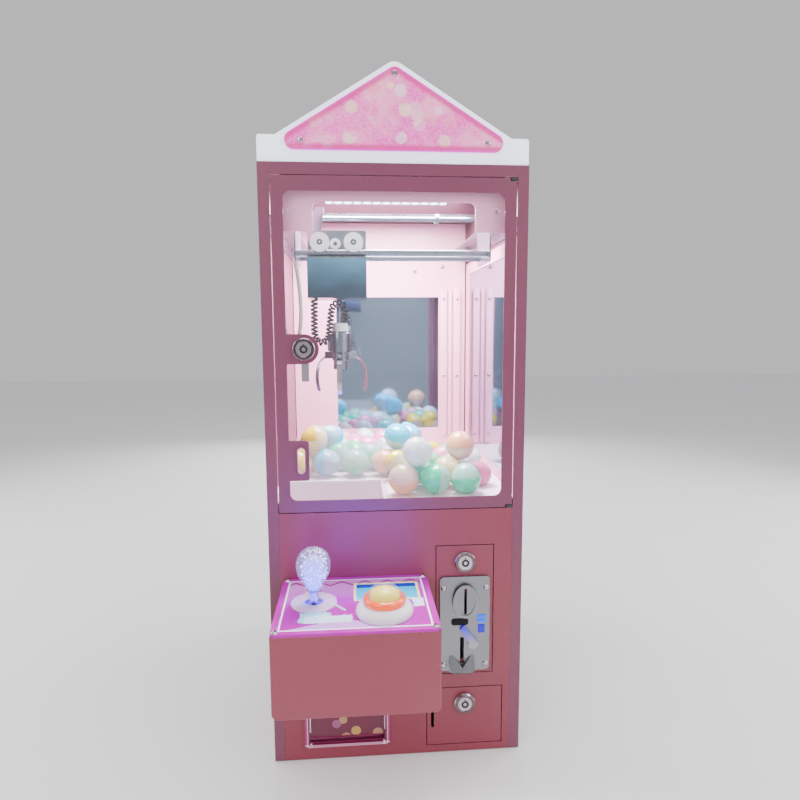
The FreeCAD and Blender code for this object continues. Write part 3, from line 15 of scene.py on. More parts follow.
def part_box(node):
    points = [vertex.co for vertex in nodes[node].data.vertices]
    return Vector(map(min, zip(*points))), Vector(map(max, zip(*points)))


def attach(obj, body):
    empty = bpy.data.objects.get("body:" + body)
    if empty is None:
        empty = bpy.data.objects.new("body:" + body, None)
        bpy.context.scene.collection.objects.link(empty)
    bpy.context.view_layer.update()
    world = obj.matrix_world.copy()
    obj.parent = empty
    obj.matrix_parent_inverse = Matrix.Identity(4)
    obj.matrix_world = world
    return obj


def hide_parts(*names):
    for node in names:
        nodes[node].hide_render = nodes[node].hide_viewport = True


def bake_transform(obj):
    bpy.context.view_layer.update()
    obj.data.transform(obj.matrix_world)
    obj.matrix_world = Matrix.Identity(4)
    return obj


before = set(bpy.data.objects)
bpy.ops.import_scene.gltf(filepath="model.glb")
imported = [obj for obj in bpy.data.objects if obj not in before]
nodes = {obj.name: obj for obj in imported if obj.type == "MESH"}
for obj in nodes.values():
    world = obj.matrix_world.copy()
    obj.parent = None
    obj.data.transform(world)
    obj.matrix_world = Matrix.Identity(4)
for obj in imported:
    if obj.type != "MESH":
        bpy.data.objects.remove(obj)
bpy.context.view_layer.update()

# %% [markdown]
# ## Places
# A maker of sheet-metal cabinets measures from the front face. One small function turns
# (across, back from the front face, up) in millimetres into the frame's metres.

# %% Places measured from the front face
FRONT_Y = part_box("front_fascia")[0][1]


def at(across, back, up):
    """A point from millimetres across, behind the front face, and above the floor."""
    return Vector((across / 1000, FRONT_Y + back / 1000, up / 1000))


print("front face at y", round(FRONT_Y, 4))

# %% [markdown]
# ## Camera, floor and lights
# The view is from a person's height in front of the machine, a little to its left, looking
# slightly down. Studio light is soft: big lamps in front, at the sides, behind and above, and a
# pale room. Two small lamps belong to the machine: one over the capsules, and a violet one that
# lights the front panel from the controls.

# %% Camera
CAMERA_PLACE = (-51.515, -726.841, 555.069)
YAW, PITCH, ROLL = 0.0764248, -0.1171542, -0.0050461
camera = bpy.data.objects.new("camera", bpy.data.cameras.new("camera"))
bpy.context.collection.objects.link(camera)
bpy.context.scene.camera = camera
gaze = Vector((math.sin(YAW) * math.cos(PITCH), math.cos(YAW) * math.cos(PITCH), math.sin(PITCH)))
side = Vector((math.cos(YAW), -math.sin(YAW), 0))
lift = side.cross(gaze)
right = math.cos(ROLL) * side + math.sin(ROLL) * lift
up = -math.sin(ROLL) * side + math.cos(ROLL) * lift
turn = Matrix((right, up, -gaze)).transposed().to_4x4()
camera.matrix_world = Matrix.Translation(at(*CAMERA_PLACE)) @ turn
camera.data.sensor_width = 36
camera.data.lens = 27
print("camera at", [round(v, 3) for v in camera.location])

# %% Floor, room and studio lamps
world = bpy.data.worlds.new("pale_room")
bpy.context.scene.world = world
world.use_nodes = True
world.node_tree.nodes["Background"].inputs["Color"].default_value = (0.94, 0.94, 0.97, 1)
world.node_tree.nodes["Background"].inputs["Strength"].default_value = 0.70


def lamp(name, place, target, size, watts, colour=(1, 1, 1)):
    """A square soft lamp at place, aimed at target."""
    data = bpy.data.lights.new(name, "AREA")
    data.size = size
    data.energy = watts
    data.color = colour
    made = bpy.data.objects.new(name, data)
    made.location = place
    made.rotation_euler = (target - place).to_track_quat("-Z", "Y").to_euler()
    bpy.context.collection.objects.link(made)
    return made


SOFTBOXES = (("left_softbox", (-1100, -1500, 1300), 1.2, 19),
             ("right_softbox", (1300, -1200, 1100), 1.2, 17),
             ("left_fill", (-1700, 500, 1000), 1.4, 21), ("right_fill", (1700, 500, 1000), 1.4, 21),
             ("back_fill", (0, 2100, 1000), 1.4, 24), ("top_softbox", (0, 100, 2100), 1.4, 16))
middle = at(0, 100, 420)
for name, place, size, watts in SOFTBOXES:
    lamp(name, at(*place), middle, size, watts)
lamp("playfield_lamp", at(0, 170, 736), at(0, 175, 340), 0.22, 13.0, (1.0, 0.95, 1.0))
lamp("panel_glow", at(-55, -85, 262), at(-50, 0, 318), 0.16, 0.55, (0.03, 0.04, 1.0))
floor_mesh = bpy.data.meshes.new("floor")
sheet = bmesh.new()
bmesh.ops.create_grid(sheet, x_segments=8, y_segments=8, size=6.0)
sheet.to_mesh(floor_mesh)
floor = bpy.data.objects.new("floor", floor_mesh)
bpy.context.collection.objects.link(floor)

# %% [markdown]
# ## Finding shader nodes quickly
# A material is a small network. One helper adds a node, sets its options, and either fills a
# socket with a value or links another node's output into it, so each recipe reads top to bottom.
# Smaller helpers stand for the nodes that nearly every recipe needs: the point's place on the
# object, a cloudy noise, a changed range, and a mix of two colours.

# %% Helpers that add shader nodes
def add(tree, kind, values=None, **settings):
    """A new shader node. values maps input sockets to a value or to an output socket."""
    made = tree.nodes.new("ShaderNode" + kind)
    for key, value in settings.items():
        setattr(made, key, value)
    for key, value in (values or {}).items():
        if isinstance(value, bpy.types.NodeSocket):
            tree.links.new(value, made.inputs[key])
        else:
            made.inputs[key].default_value = value
    return made


def maths(tree, operation, first, second=0.0, clamp=False):
    """The output of one Math node."""
    return add(tree, "Math", {0: first, 1: second}, operation=operation, use_clamp=clamp).outputs[0]


def blend_colour(tree, factor, first, second):
    """The colour output of a Mix node."""
    mix = add(tree, "Mix", data_type="RGBA")
    for slot, value in ((0, factor), (6, first), (7, second)):
        if isinstance(value, bpy.types.NodeSocket):
            tree.links.new(value, mix.inputs[slot])
        else:
            mix.inputs[slot].default_value = value if slot == 0 else (*value[:3], 1)
    return mix.outputs[2]


def where(tree):
    """The point's place on the object, as a vector."""
    return add(tree, "TexCoord").outputs["Object"]


def place_of(tree):
    """The point's place as three outputs: x, y and z."""
    return add(tree, "SeparateXYZ", {0: where(tree)}).outputs


def noise(tree, scale, detail=2.0, **values):
    """A cloudy value over the object."""
    return add(tree, "TexNoise", {"Vector": where(tree), "Scale": scale, "Detail": detail,
                                  **values}).outputs[0]


def remap(tree, value, low=0.0, high=1.0, to_low=0.0, to_high=1.0):
    """A value with its range low to high turned into another range."""
    return add(tree, "MapRange", {0: value, 1: low, 2: high, 3: to_low, 4: to_high}).outputs[0]


def box_middle(node):
    """The middle of a node's box and half its size, as two lists."""
    low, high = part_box(node)
    return [(a + b) / 2 for a, b in zip(low, high)], [(b - a) / 2 for a, b in zip(low, high)]


def new_group(name, inputs, outputs):
    """An empty shader node group with named float, vector or colour sockets."""
    tree = bpy.data.node_groups.new(name, "ShaderNodeTree")
    for label, kind, value in inputs:
        socket = tree.interface.new_socket(label, in_out="INPUT", socket_type="NodeSocket" + kind)
        if value is not None:
            socket.default_value = value
    for label, kind in outputs:
        tree.interface.new_socket(label, in_out="OUTPUT", socket_type="NodeSocket" + kind)
    return tree, tree.nodes.new("NodeGroupInput"), tree.nodes.new("NodeGroupOutput")


print("shader helpers ready")

# %% [markdown]
# ## Effects shared by several finishes
# Powder paint has a fine orange peel and tiny flakes. Brushed metal has long thin scratches one
# way. Edges lose a little paint where hands and tools touch them. Each effect is one node group,
# because a group can be placed in any finish with its own strength.

# %% Node group: paint peel and flakes
peel, peel_in, peel_out = new_group(
    "paint_peel", [("Peel Scale", "Float", 900.0), ("Flake Scale", "Float", 2600.0)],
    [("Height", "Float"), ("Flakes", "Float"), ("Cloud", "Float")])
flakes = add(peel, "TexVoronoi", {"Vector": where(peel), "Scale": peel_in.outputs[1]})
peel.links.new(noise(peel, peel_in.outputs[0]), peel_out.inputs[0])
flake_grey = add(peel, "SeparateColor", {0: flakes.outputs["Color"]}).outputs[0]
peel.links.new(maths(peel, "POWER", flake_grey, 3.0), peel_out.inputs[1])
peel.links.new(noise(peel, 9.0, 3.0, Roughness=0.6), peel_out.inputs[2])
print("group", peel.name)

# %% Node group: brushed scratches
brush, brush_in, brush_out = new_group(
    "brushed_lines", [("Stretch", "Vector", (40.0, 40.0, 1600.0))], [("Lines", "Float")])
place = add(brush, "Mapping", {"Vector": where(brush), "Scale": brush_in.outputs[0]})
lines = add(brush, "TexNoise", {"Vector": place.outputs[0], "Scale": 1.0, "Detail": 4.0,
                                "Roughness": 0.7})
brush.links.new(lines.outputs[0], brush_out.inputs[0])
print("group", brush.name)

# %% Node group: worn edges
wear, wear_in, wear_out = new_group(
    "edge_wear", [("Width", "Float", 0.0012), ("Breakup", "Float", 0.5)], [("Mask", "Float")])
soft = add(wear, "Bevel", {"Radius": wear_in.outputs[0]}, samples=4)
sharp = add(wear, "NewGeometry")
agree = add(wear, "VectorMath", {0: soft.outputs[0], 1: sharp.outputs["Normal"]},
            operation="DOT_PRODUCT").outputs["Value"]
edge = maths(wear, "MULTIPLY", maths(wear, "SUBTRACT", 1.0, agree), 5.0, clamp=True)
gate = maths(wear, "GREATER_THAN", noise(wear, 160.0, 4.0), wear_in.outputs[1])
wear.links.new(maths(wear, "MULTIPLY", edge, gate), wear_out.inputs[0])
print("group", wear.name)

# %% Node group: signed distance to a rectangle, for printed lines and frames
rect, rect_in, rect_out = new_group(
    "rectangle", [("Centre", "Vector", (0, 0, 0)), ("Half", "Vector", (0.1, 0.1, 0.1)),
                  ("Use Up", "Float", 0.0)], [("Distance", "Float")])
offset = add(rect, "VectorMath", {0: where(rect), 1: rect_in.outputs[0]},
             operation="SUBTRACT")
size_away = add(rect, "VectorMath", {0: offset.outputs[0]}, operation="ABSOLUTE")
beyond = add(rect, "SeparateXYZ", {0: add(rect, "VectorMath", {0: size_away.outputs[0],
             1: rect_in.outputs[1]}, operation="SUBTRACT").outputs[0]})
second = add(rect, "Mix", {0: rect_in.outputs[2], 2: beyond.outputs[1], 3: beyond.outputs[2]},
             data_type="FLOAT").outputs[0]
rect.links.new(maths(rect, "MAXIMUM", beyond.outputs[0], second), rect_out.inputs[0])
print("group", rect.name)


def use(tree, group, **values):
    """A node group placed in a material, with its own values."""
    made = tree.nodes.new("ShaderNodeGroup")
    made.node_tree = group
    for key, value in values.items():
        made.inputs[key.replace("_", " ")].default_value = value
    return made


# %% [markdown]
# ## Finishes
# Every finish is a Principled surface. What is the same all over is set on its own socket;
# what changes over the surface comes from the groups above.

# %% A blank finish
def finish(name, **sockets):
    """A material with its tree and its Principled node, sockets given by name."""
    made = bpy.data.materials.new(name)
    made.use_nodes = True
    tree = made.node_tree
    surface = tree.nodes["Principled BSDF"]
    for key, value in sockets.items():
        surface.inputs[key.replace("_", " ")].default_value = value
    return made, tree, surface


def bump(tree, surface, height, strength, distance):
    """Feeds a height into the surface's normal."""
    made = add(tree, "Bump", {"Height": height, "Strength": strength, "Distance": distance})
    tree.links.new(made.outputs[0], surface.inputs["Normal"])


# %% Painted steel
def painted(name, dark, light, metallic, rough, coat, worn):
    """Powder paint: two close tones, flakes, orange peel and lightly worn edges."""
    made, tree, surface = finish(name, Metallic=metallic, Coat_Weight=coat, Coat_Roughness=0.15)
    grain = use(tree, peel)
    edge = use(tree, wear)
    tone = blend_colour(tree, grain.outputs["Cloud"], dark, light)
    sparkle = maths(tree, "MULTIPLY", grain.outputs["Flakes"], 0.25)
    tone = blend_colour(tree, sparkle, tone, [min(1, c * 1.8 + 0.05) for c in light])
    tone = blend_colour(tree, maths(tree, "MULTIPLY", edge.outputs[0], worn), tone,
                        [min(1, c * 1.3 + 0.22) for c in light])
    tree.links.new(tone, surface.inputs["Base Color"])
    uneven = remap(tree, grain.outputs["Cloud"], to_low=rough - 0.06, to_high=rough + 0.08)
    tree.links.new(uneven, surface.inputs["Roughness"])
    bump(tree, surface, grain.outputs["Height"], 0.10, 0.0002)
    return made


rose = painted("rose_paint", (0.205, 0.022, 0.043), (0.240, 0.032, 0.057), 0.0, 0.42, 0.10, 0.22)
mauve = painted("mauve_paint", (0.150, 0.028, 0.063), (0.180, 0.038, 0.080), 0.0, 0.42, 0.10, 0.22)
blush = painted("blush_paint", (0.80, 0.30, 0.45), (0.86, 0.37, 0.53), 0.0, 0.42, 0.1, 0.1)
pale = painted("pale_paint", (0.90, 0.72, 0.80), (0.95, 0.80, 0.87), 0.0, 0.45, 0.1, 0.1)
print("paints", rose.name, mauve.name, blush.name)

# %% Bare metals
def metal(name, colour, rough, stretch, depth):
    """Metal with fine lines one way that vary its roughness and its height."""
    made, tree, surface = finish(name, Metallic=1.0)
    lines = use(tree, brush, Stretch=stretch)
    edge = use(tree, wear, Width=0.0008)
    tone = blend_colour(tree, lines.outputs[0], [c * 0.82 for c in colour],
                        [min(1, c * 1.1) for c in colour])
    tone = blend_colour(tree, maths(tree, "MULTIPLY", edge.outputs[0], 0.4), tone, (0.9, 0.9, 0.9))
    tree.links.new(tone, surface.inputs["Base Color"])
    uneven = remap(tree, lines.outputs[0], to_low=rough * 0.7, to_high=rough * 1.4)
    tree.links.new(uneven, surface.inputs["Roughness"])
    bump(tree, surface, lines.outputs[0], depth, 0.0001)
    return made


chrome = metal("bright_chrome", (0.52, 0.45, 0.50), 0.12, (30, 30, 30), 0.02)
zinc = metal("zinc_plate", (0.20, 0.235, 0.28), 0.28, (60, 60, 60), 0.05)
cast = metal("satin_casting", (0.25, 0.25, 0.27), 0.38, (900, 60, 60), 0.10)
print("metals ready")

# %% [markdown]
# ### The trolley's polished cover
# The cover is a mirror-like folded sheet that shows the lamp above it and the dark space in front
# of it. Those reflections are painted into the brushed metal's colour: painted dark blue at the
# bottom and pale cyan at the top, so that it reads as polished steel from any side.

# %% Polished cover, with a painted reflection from dark at the bottom to pale at the top
cover_steel = metal("polished_cover", (0.13, 0.25, 0.36), 0.20, (25, 25, 700), 0.06)
tree = cover_steel.node_tree
surface = tree.nodes["Principled BSDF"]
brushed = surface.inputs["Base Color"].links[0].from_socket
cover_low, cover_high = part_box("trolley_cover")
rise = remap(tree, place_of(tree)[2], cover_low[2], cover_high[2])
reflection_streak = maths(tree, "MULTIPLY", noise(tree, 34.0, 4.0, Roughness=0.6), 0.7)
painted_reflection_mix = remap(tree, maths(tree, "ADD", rise, reflection_streak), 0.55, 1.45)
# Painted reflection: the colour is darkened to deep blue low down, where the cover shows the dark
# space in front, and lightened to pale cyan high up, where it shows the lamp above.
deep = blend_colour(tree, 0.80, brushed, (0.010, 0.040, 0.085))
light = blend_colour(tree, 0.60, brushed, (0.16, 0.52, 0.74))
tree.links.new(blend_colour(tree, painted_reflection_mix, deep, light), surface.inputs["Base Color"])
print("cover", round((cover_high[2] - cover_low[2]) * 1000), "mm tall")

# %% Plastics and rubber
def plastic(name, colour, rough, speck=0.08, **sockets):
    """Moulded plastic with a faint mottle and a fine moulding texture."""
    made, tree, surface = finish(name, **sockets)
    grain = use(tree, peel, Peel_Scale=700.0, Flake_Scale=1500.0)
    tone = blend_colour(tree, maths(tree, "MULTIPLY", grain.outputs["Cloud"], speck * 4),
                        [min(1, c * (1 + speck)) for c in colour],
                        [c * (1 - speck) for c in colour])
    tree.links.new(tone, surface.inputs["Base Color"])
    uneven = remap(tree, grain.outputs["Cloud"], to_low=max(0.02, rough - 0.05),
                   to_high=rough + 0.07)
    tree.links.new(uneven, surface.inputs["Roughness"])
    bump(tree, surface, grain.outputs["Height"], 0.06, 0.0001)
    return made


black = plastic("black_plastic", (0.020, 0.020, 0.024), 0.45)
white = plastic("white_plastic", (0.80, 0.78, 0.82), 0.28)
nylon = plastic("white_nylon", (0.82, 0.86, 0.88), 0.35)
rubber = plastic("foot_rubber", (0.02, 0.02, 0.02), 0.8)
lead_grey = plastic("grey_lead", (0.62, 0.60, 0.63), 0.38)
lead_black = plastic("black_lead", (0.004, 0.005, 0.012), 0.40)
braid = plastic("string_braid", (0.72, 0.72, 0.75), 0.7)
header_white = plastic("header_white", (0.84, 0.88, 0.98), 0.25, Emission_Color=(0.74, 0.84, 1, 1),
                       Emission_Strength=1.1)
board_green = plastic("board_green", (0.02, 0.16, 0.07), 0.4)
lamp_white, lamp_tree, lamp_surface = finish("led_strip", Base_Color=(0.8, 0.8, 0.85, 1),
                                             Roughness=0.4, Emission_Strength=9.0)
dots = add(lamp_tree, "TexVoronoi", {"Vector": where(lamp_tree), "Scale": 70.0,
                                     "Randomness": 0.0})
lit = maths(lamp_tree, "LESS_THAN", dots.outputs["Distance"], 0.42)
lamp_tree.links.new(blend_colour(lamp_tree, lit, (0.05, 0.06, 0.07), (0.62, 0.92, 1.0)),
                    lamp_surface.inputs["Emission Color"])
print("plastics ready")


# %% Clear parts and mirror
def clear(name, colour, alpha, rough):
    """A thin clear sheet, slightly smeared."""
    made, tree, surface = finish(name, Base_Color=(*colour, 1), Alpha=alpha)
    smear = noise(tree, 22.0, 5.0)
    uneven = remap(tree, smear, to_low=rough, to_high=rough + 0.08)
    tree.links.new(uneven, surface.inputs["Roughness"])
    thick = remap(tree, smear, to_low=alpha * 0.7, to_high=alpha * 1.3)
    tree.links.new(thick, surface.inputs["Alpha"])
    return made


glass = clear("door_glass", (0.95, 0.97, 1.0), 0.03, 0.02)
acrylic = clear("clear_acrylic", (0.96, 0.93, 0.97), 0.20, 0.05)
disc_clear = clear("clear_disc", (0.95, 0.80, 0.95), 0.42, 0.10)
mirror, mirror_tree, mirror_surface = finish("mirror", Metallic=1.0,
                                             Base_Color=(0.24, 0.33, 0.45, 1))
haze = remap(mirror_tree, noise(mirror_tree, 14.0, 4.0), to_low=0.01, to_high=0.09)
mirror_tree.links.new(haze, mirror_surface.inputs["Roughness"])
print("clear parts ready")

# %% [markdown]
# ## Printed panels
# The header's art and the control panel's sheet are prints behind acrylic, lit from their edge.
# A print is flat, so its shapes are worked out from the point's own place: distances to a
# rectangle give the frame lines, and a zigzag comes from a ping-pong of the place across.

# %% Node group: zigzag band
zig, zig_in, zig_out = new_group(
    "zigzag", [("Across", "Float", 0.0), ("Along", "Float", 0.0), ("Pitch", "Float", 0.02),
               ("Depth", "Float", 0.4), ("Width", "Float", 0.0012)], [("Mask", "Float")])
folded = maths(zig, "PINGPONG", zig_in.outputs[0], zig_in.outputs[2])
target = maths(zig, "MULTIPLY", folded, zig_in.outputs[3])
gap = maths(zig, "ABSOLUTE", maths(zig, "SUBTRACT", zig_in.outputs[1], target))
zig.links.new(maths(zig, "LESS_THAN", gap, zig_in.outputs[4]), zig_out.inputs[0])
print("group", zig.name)


def band(tree, distance, low, high):
    """1 where the distance lies between two values."""
    over = maths(tree, "GREATER_THAN", distance, low)
    return maths(tree, "MULTIPLY", over, maths(tree, "LESS_THAN", distance, high))


def print_on(tree, surface, art):
    """Feeds a print into the surface's own colour and its glow."""
    tree.links.new(art, surface.inputs["Base Color"])
    tree.links.new(art, surface.inputs["Emission Color"])


def blobs(tree, scale, size, seed):
    """Soft round spots of many colours: a mask and a random value."""
    moved = add(tree, "Mapping", {"Vector": where(tree),
                                  "Location": (seed, seed * 2, seed * 3)})
    cells = add(tree, "TexVoronoi", {"Vector": moved.outputs[0], "Scale": scale})
    mask = maths(tree, "LESS_THAN", cells.outputs["Distance"], size)
    return mask, add(tree, "SeparateColor", {0: cells.outputs["Color"]}).outputs[0]


# %% [markdown]
# ### The control panel's print
# The sheet runs from magenta in the middle to pale pink at the back and lilac at the front. A
# zigzag crosses its back, small dotted cards lie on it, and a magenta edge with a pale line frames
# it. Each shape is a distance to a rectangle or a line, turned into a mask and mixed over the last.

# %% The control panel's ground colours
MAGENTA = (0.42, 0.0, 0.34)
EDGE, EDGE_LINE = 0.0074, 0.0020
overlay, tree, surface = finish("control_print", Roughness=0.30, Specular_IOR_Level=0.2,
                                Emission_Strength=0.12)
panel_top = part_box("control_panel")[1]
centre, half = box_middle("control_panel")
outline = use(tree, rect, Centre=centre, Half=half).outputs[0]
x, y, z = place_of(tree)
right_part = maths(tree, "DIVIDE", maths(tree, "SUBTRACT", x, centre[0]), half[0])
back_part = maths(tree, "DIVIDE", maths(tree, "SUBTRACT", y, centre[1]), half[1])
fade = maths(tree, "SUBTRACT", back_part, maths(tree, "MULTIPLY", right_part, 0.28))
fade = maths(tree, "ADD", fade, maths(tree, "MULTIPLY", noise(tree, 16.0), 0.5))
art = blend_colour(tree, remap(tree, fade, 0.40, 1.05), (0.40, 0.0, 0.36), (0.62, 0.20, 0.56))
fold = maths(tree, "ABSOLUTE", maths(tree, "ADD", right_part, 0.15))
fold = maths(tree, "ADD", back_part, maths(tree, "MULTIPLY", fold, 0.42))
art = blend_colour(tree, maths(tree, "LESS_THAN", fold, -0.58), art, (0.60, 0.26, 0.72))
print("print over", [round(v * 2000) for v in half[:2]], "mm")

# %% Dotted cards on the print: across, back, half width and half depth as parts of the panel's
CARDS = ((-0.50, -0.50, 0.200, 0.170, (0.30, 0.72, 0.84)),
         (-0.34, -0.56, 0.300, 0.130, (0.62, 0.74, 0.86)),
         (-0.52, -0.30, 0.160, 0.045, (0.05, 0.55, 0.80)),
         (0.80, -0.10, 0.085, 0.150, (0.66, 0.72, 0.92)),
         (-0.58, 0.46, 0.090, 0.090, (0.85, 0.60, 0.10)))
mottled = add(tree, "TexVoronoi", {"Vector": where(tree), "Scale": 150.0}).outputs["Distance"]
ragged = maths(tree, "MULTIPLY", mottled, 0.0035)
dotted = maths(tree, "LESS_THAN", mottled, 0.16)
for across, back, wide, deep, colour in CARDS:
    spot = (centre[0] + across * half[0], centre[1] + back * half[1], centre[2])
    card = use(tree, rect, Centre=spot, Half=(wide * half[0], deep * half[1], 1.0)).outputs[0]
    ink = blend_colour(tree, dotted, colour, [c * 0.55 for c in colour])
    art = blend_colour(tree, maths(tree, "LESS_THAN", maths(tree, "ADD", card, ragged), 0.001),
                       art, ink)
print("cards", len(CARDS))

# %% A striped bar, lying slantwise
BAR_HALF, BAR_THIN, BAR_COS, BAR_SIN = 0.0125, 0.0017, 0.62, 0.78
bar_x = maths(tree, "SUBTRACT", x, centre[0] - 0.22 * half[0])
bar_y = maths(tree, "SUBTRACT", y, centre[1] - 0.14 * half[1])
bar_along = maths(tree, "SUBTRACT", maths(tree, "MULTIPLY", bar_x, BAR_COS),
                  maths(tree, "MULTIPLY", bar_y, BAR_SIN))
bar_side = maths(tree, "ADD", maths(tree, "MULTIPLY", bar_x, BAR_SIN),
                 maths(tree, "MULTIPLY", bar_y, BAR_COS))
wave = maths(tree, "SINE", maths(tree, "MULTIPLY", bar_along, 1900.0))
striped = blend_colour(tree, maths(tree, "GREATER_THAN", wave, 0.0), (0.90, 0.88, 0.75),
                       (0.02, 0.30, 0.45))
in_length = maths(tree, "LESS_THAN", maths(tree, "ABSOLUTE", bar_along), BAR_HALF)
in_width = maths(tree, "LESS_THAN", maths(tree, "ABSOLUTE", bar_side), BAR_THIN)
art = blend_colour(tree, maths(tree, "MULTIPLY", in_length, in_width), art, striped)
print("bar", BAR_HALF * 2000, "mm long")

# %% Zigzag, display frame and edge of the print
ZIGZAG_BACK = 0.024
zigzag = use(tree, zig, Pitch=0.014, Depth=0.75, Width=0.0019)
tree.links.new(x, zigzag.inputs[0])
tree.links.new(maths(tree, "SUBTRACT", y, panel_top[1] - ZIGZAG_BACK), zigzag.inputs[1])
art = blend_colour(tree, zigzag.outputs[0], art, (0.30, 0.0, 0.16))
LCD_HALF = (0.0388, 0.0238, 1.0)
lcd_frame = use(tree, rect, Centre=box_middle("lcd_display")[0], Half=LCD_HALF).outputs[0]
art = blend_colour(tree, maths(tree, "LESS_THAN", lcd_frame, 0.0), art, (0.90, 0.86, 0.30))
art = blend_colour(tree, band(tree, outline, -EDGE - EDGE_LINE, -EDGE), art, (0.95, 0.90, 0.97))
art = blend_colour(tree, maths(tree, "GREATER_THAN", outline, -EDGE), art, MAGENTA)
print_on(tree, surface, art)
print("edge", EDGE * 1000, "mm wide")

# %% [markdown]
# ### The header's art
# Behind the header's clear sheet lies a pink print with soft pale spots, a zigzag hem and a darker
# border that follows the panel's three sides. How far a point lies inside the nearest side is the
# smallest of three distances, and it gives both the border and the bright rim.

# %% The header's art print
SLOPE = math.atan2(85.3, 139)
ROUNDED_OFF, HEM_UP, RIM_WIDE = 0.0018, 0.020, 0.0011
header_art, tree, surface = finish("header_print", Roughness=0.35, Specular_IOR_Level=0.2,
                                   Emission_Strength=0.65)
x, y, z = place_of(tree)
low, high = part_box("header_art_panel")
from_base = maths(tree, "SUBTRACT", z, low[2])
down = maths(tree, "MULTIPLY", maths(tree, "SUBTRACT", high[2] + ROUNDED_OFF, z),
             math.cos(SLOPE))
away = maths(tree, "MULTIPLY", maths(tree, "ABSOLUTE", x), math.sin(SLOPE))
inside = maths(tree, "MINIMUM", from_base, maths(tree, "SUBTRACT", down, away))
patch = remap(tree, noise(tree, 24.0, 3.0, Roughness=0.6), 0.44, 0.58)
art = blend_colour(tree, patch, (0.80, 0.02, 0.42), (0.88, 0.22, 0.46))
spots, tint = blobs(tree, 46.0, 0.36, 0.2)
pastel = add(tree, "ValToRGB", {0: tint})
ramp = pastel.color_ramp
ramp.elements[0].color = (0.82, 0.05, 0.16, 1)
ramp.elements[1].color = (0.92, 0.66, 0.34, 1)
ramp.elements.new(0.5).color = (0.72, 0.66, 0.70, 1)
art = blend_colour(tree, maths(tree, "MULTIPLY", spots, 0.55), art, pastel.outputs[0])
zigzag = use(tree, zig, Pitch=0.012, Depth=1.0, Width=0.007)
tree.links.new(x, zigzag.inputs[0])
tree.links.new(maths(tree, "SUBTRACT", z, low[2] + HEM_UP), zigzag.inputs[1])
art = blend_colour(tree, maths(tree, "MULTIPLY", zigzag.outputs[0], 0.55), art,
                   (0.80, 0.03, 0.44))
grainy = remap(tree, noise(tree, 420.0, 3.0, Roughness=0.7), 0.35, 0.70, 0.0, 0.32)
art = blend_colour(tree, grainy, art, (0.96, 0.70, 0.74))
art = blend_colour(tree, remap(tree, inside, 0.0045, 0.0085, 0.85, 0.0), art,
                   (0.58, 0.02, 0.24))
art = blend_colour(tree, maths(tree, "LESS_THAN", inside, RIM_WIDE), art, (0.80, 0.0, 0.62))
print_on(tree, surface, art)
print("art slope", round(math.degrees(SLOPE), 1), "degrees")

# %% [markdown]
# ### The display, the prize flap and the return lever
# The display glows cyan with a darker strip along its back. The flap is a dark tinted sheet with
# round spots in a frame that has a pale line and a pale lower lip. The coin return lever is clear
# plastic, lit blue from inside at its top.

# %% The display
STRIP_WIDE = 0.014
display, tree, surface = finish("display", Roughness=0.3, Emission_Strength=0.50,
                                Specular_IOR_Level=0.1)
y = place_of(tree)[1]
strip = maths(tree, "GREATER_THAN", y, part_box("lcd_display")[1][1] - STRIP_WIDE)
rows = maths(tree, "GREATER_THAN", maths(tree, "SINE", maths(tree, "MULTIPLY", y, 5200.0)), 0.9)
glow = blend_colour(tree, strip, (0.0, 0.42, 0.62), (0.003, 0.02, 0.30))
glow = blend_colour(tree, maths(tree, "MULTIPLY", rows, 0.12), glow, (0.0, 0.2, 0.4))
print_on(tree, surface, glow)
print("display strip", STRIP_WIDE * 1000, "mm")

# %% The tinted prize flap
flap_print, tree, surface = finish("flap_print", Roughness=0.2, Coat_Weight=0.5)
flap_mid, flap_half = box_middle("prize_flap")
border = use(tree, rect, Centre=flap_mid, Half=flap_half, Use_Up=1.0).outputs[0]
spots, tint = blobs(tree, 46.0, 0.32, 1.1)
fruit = add(tree, "ValToRGB", {0: tint})
fruit.color_ramp.elements[0].color = (0.50, 0.30, 0.06, 1)
fruit.color_ramp.elements[1].color = (0.30, 0.05, 0.20, 1)
art = blend_colour(tree, spots, (0.13, 0.006, 0.035), fruit.outputs[0])
art = blend_colour(tree, maths(tree, "GREATER_THAN", border, -0.002), art, (0.20, 0.008, 0.06))
tree.links.new(art, surface.inputs["Base Color"])
print("flap", [round(v * 2000) for v in flap_half], "mm")

# %% The prize opening's frame
RIM_EDGE, RIM_LINE, LIP_TALL = 0.0028, 0.0014, 0.0026
edge_glow, tree, surface = finish("prize_rim", Roughness=0.22, Coat_Weight=0.5)
rim_mid, rim_half = box_middle("prize_frame")
border = use(tree, rect, Centre=rim_mid, Half=rim_half, Use_Up=1.0).outputs[0]
art = blend_colour(tree, maths(tree, "GREATER_THAN", border, -RIM_EDGE), (0.14, 0.006, 0.045),
                   (0.34, 0.008, 0.14))
art = blend_colour(tree, band(tree, border, -RIM_EDGE - RIM_LINE, -RIM_EDGE), art,
                   (0.72, 0.35, 0.52))
lip = maths(tree, "LESS_THAN", place_of(tree)[2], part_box("prize_frame")[0][2] + LIP_TALL)
art = blend_colour(tree, lip, art, (0.92, 0.66, 0.76))
tree.links.new(art, surface.inputs["Base Color"])
print("frame", [round(v * 2000) for v in rim_half], "mm")

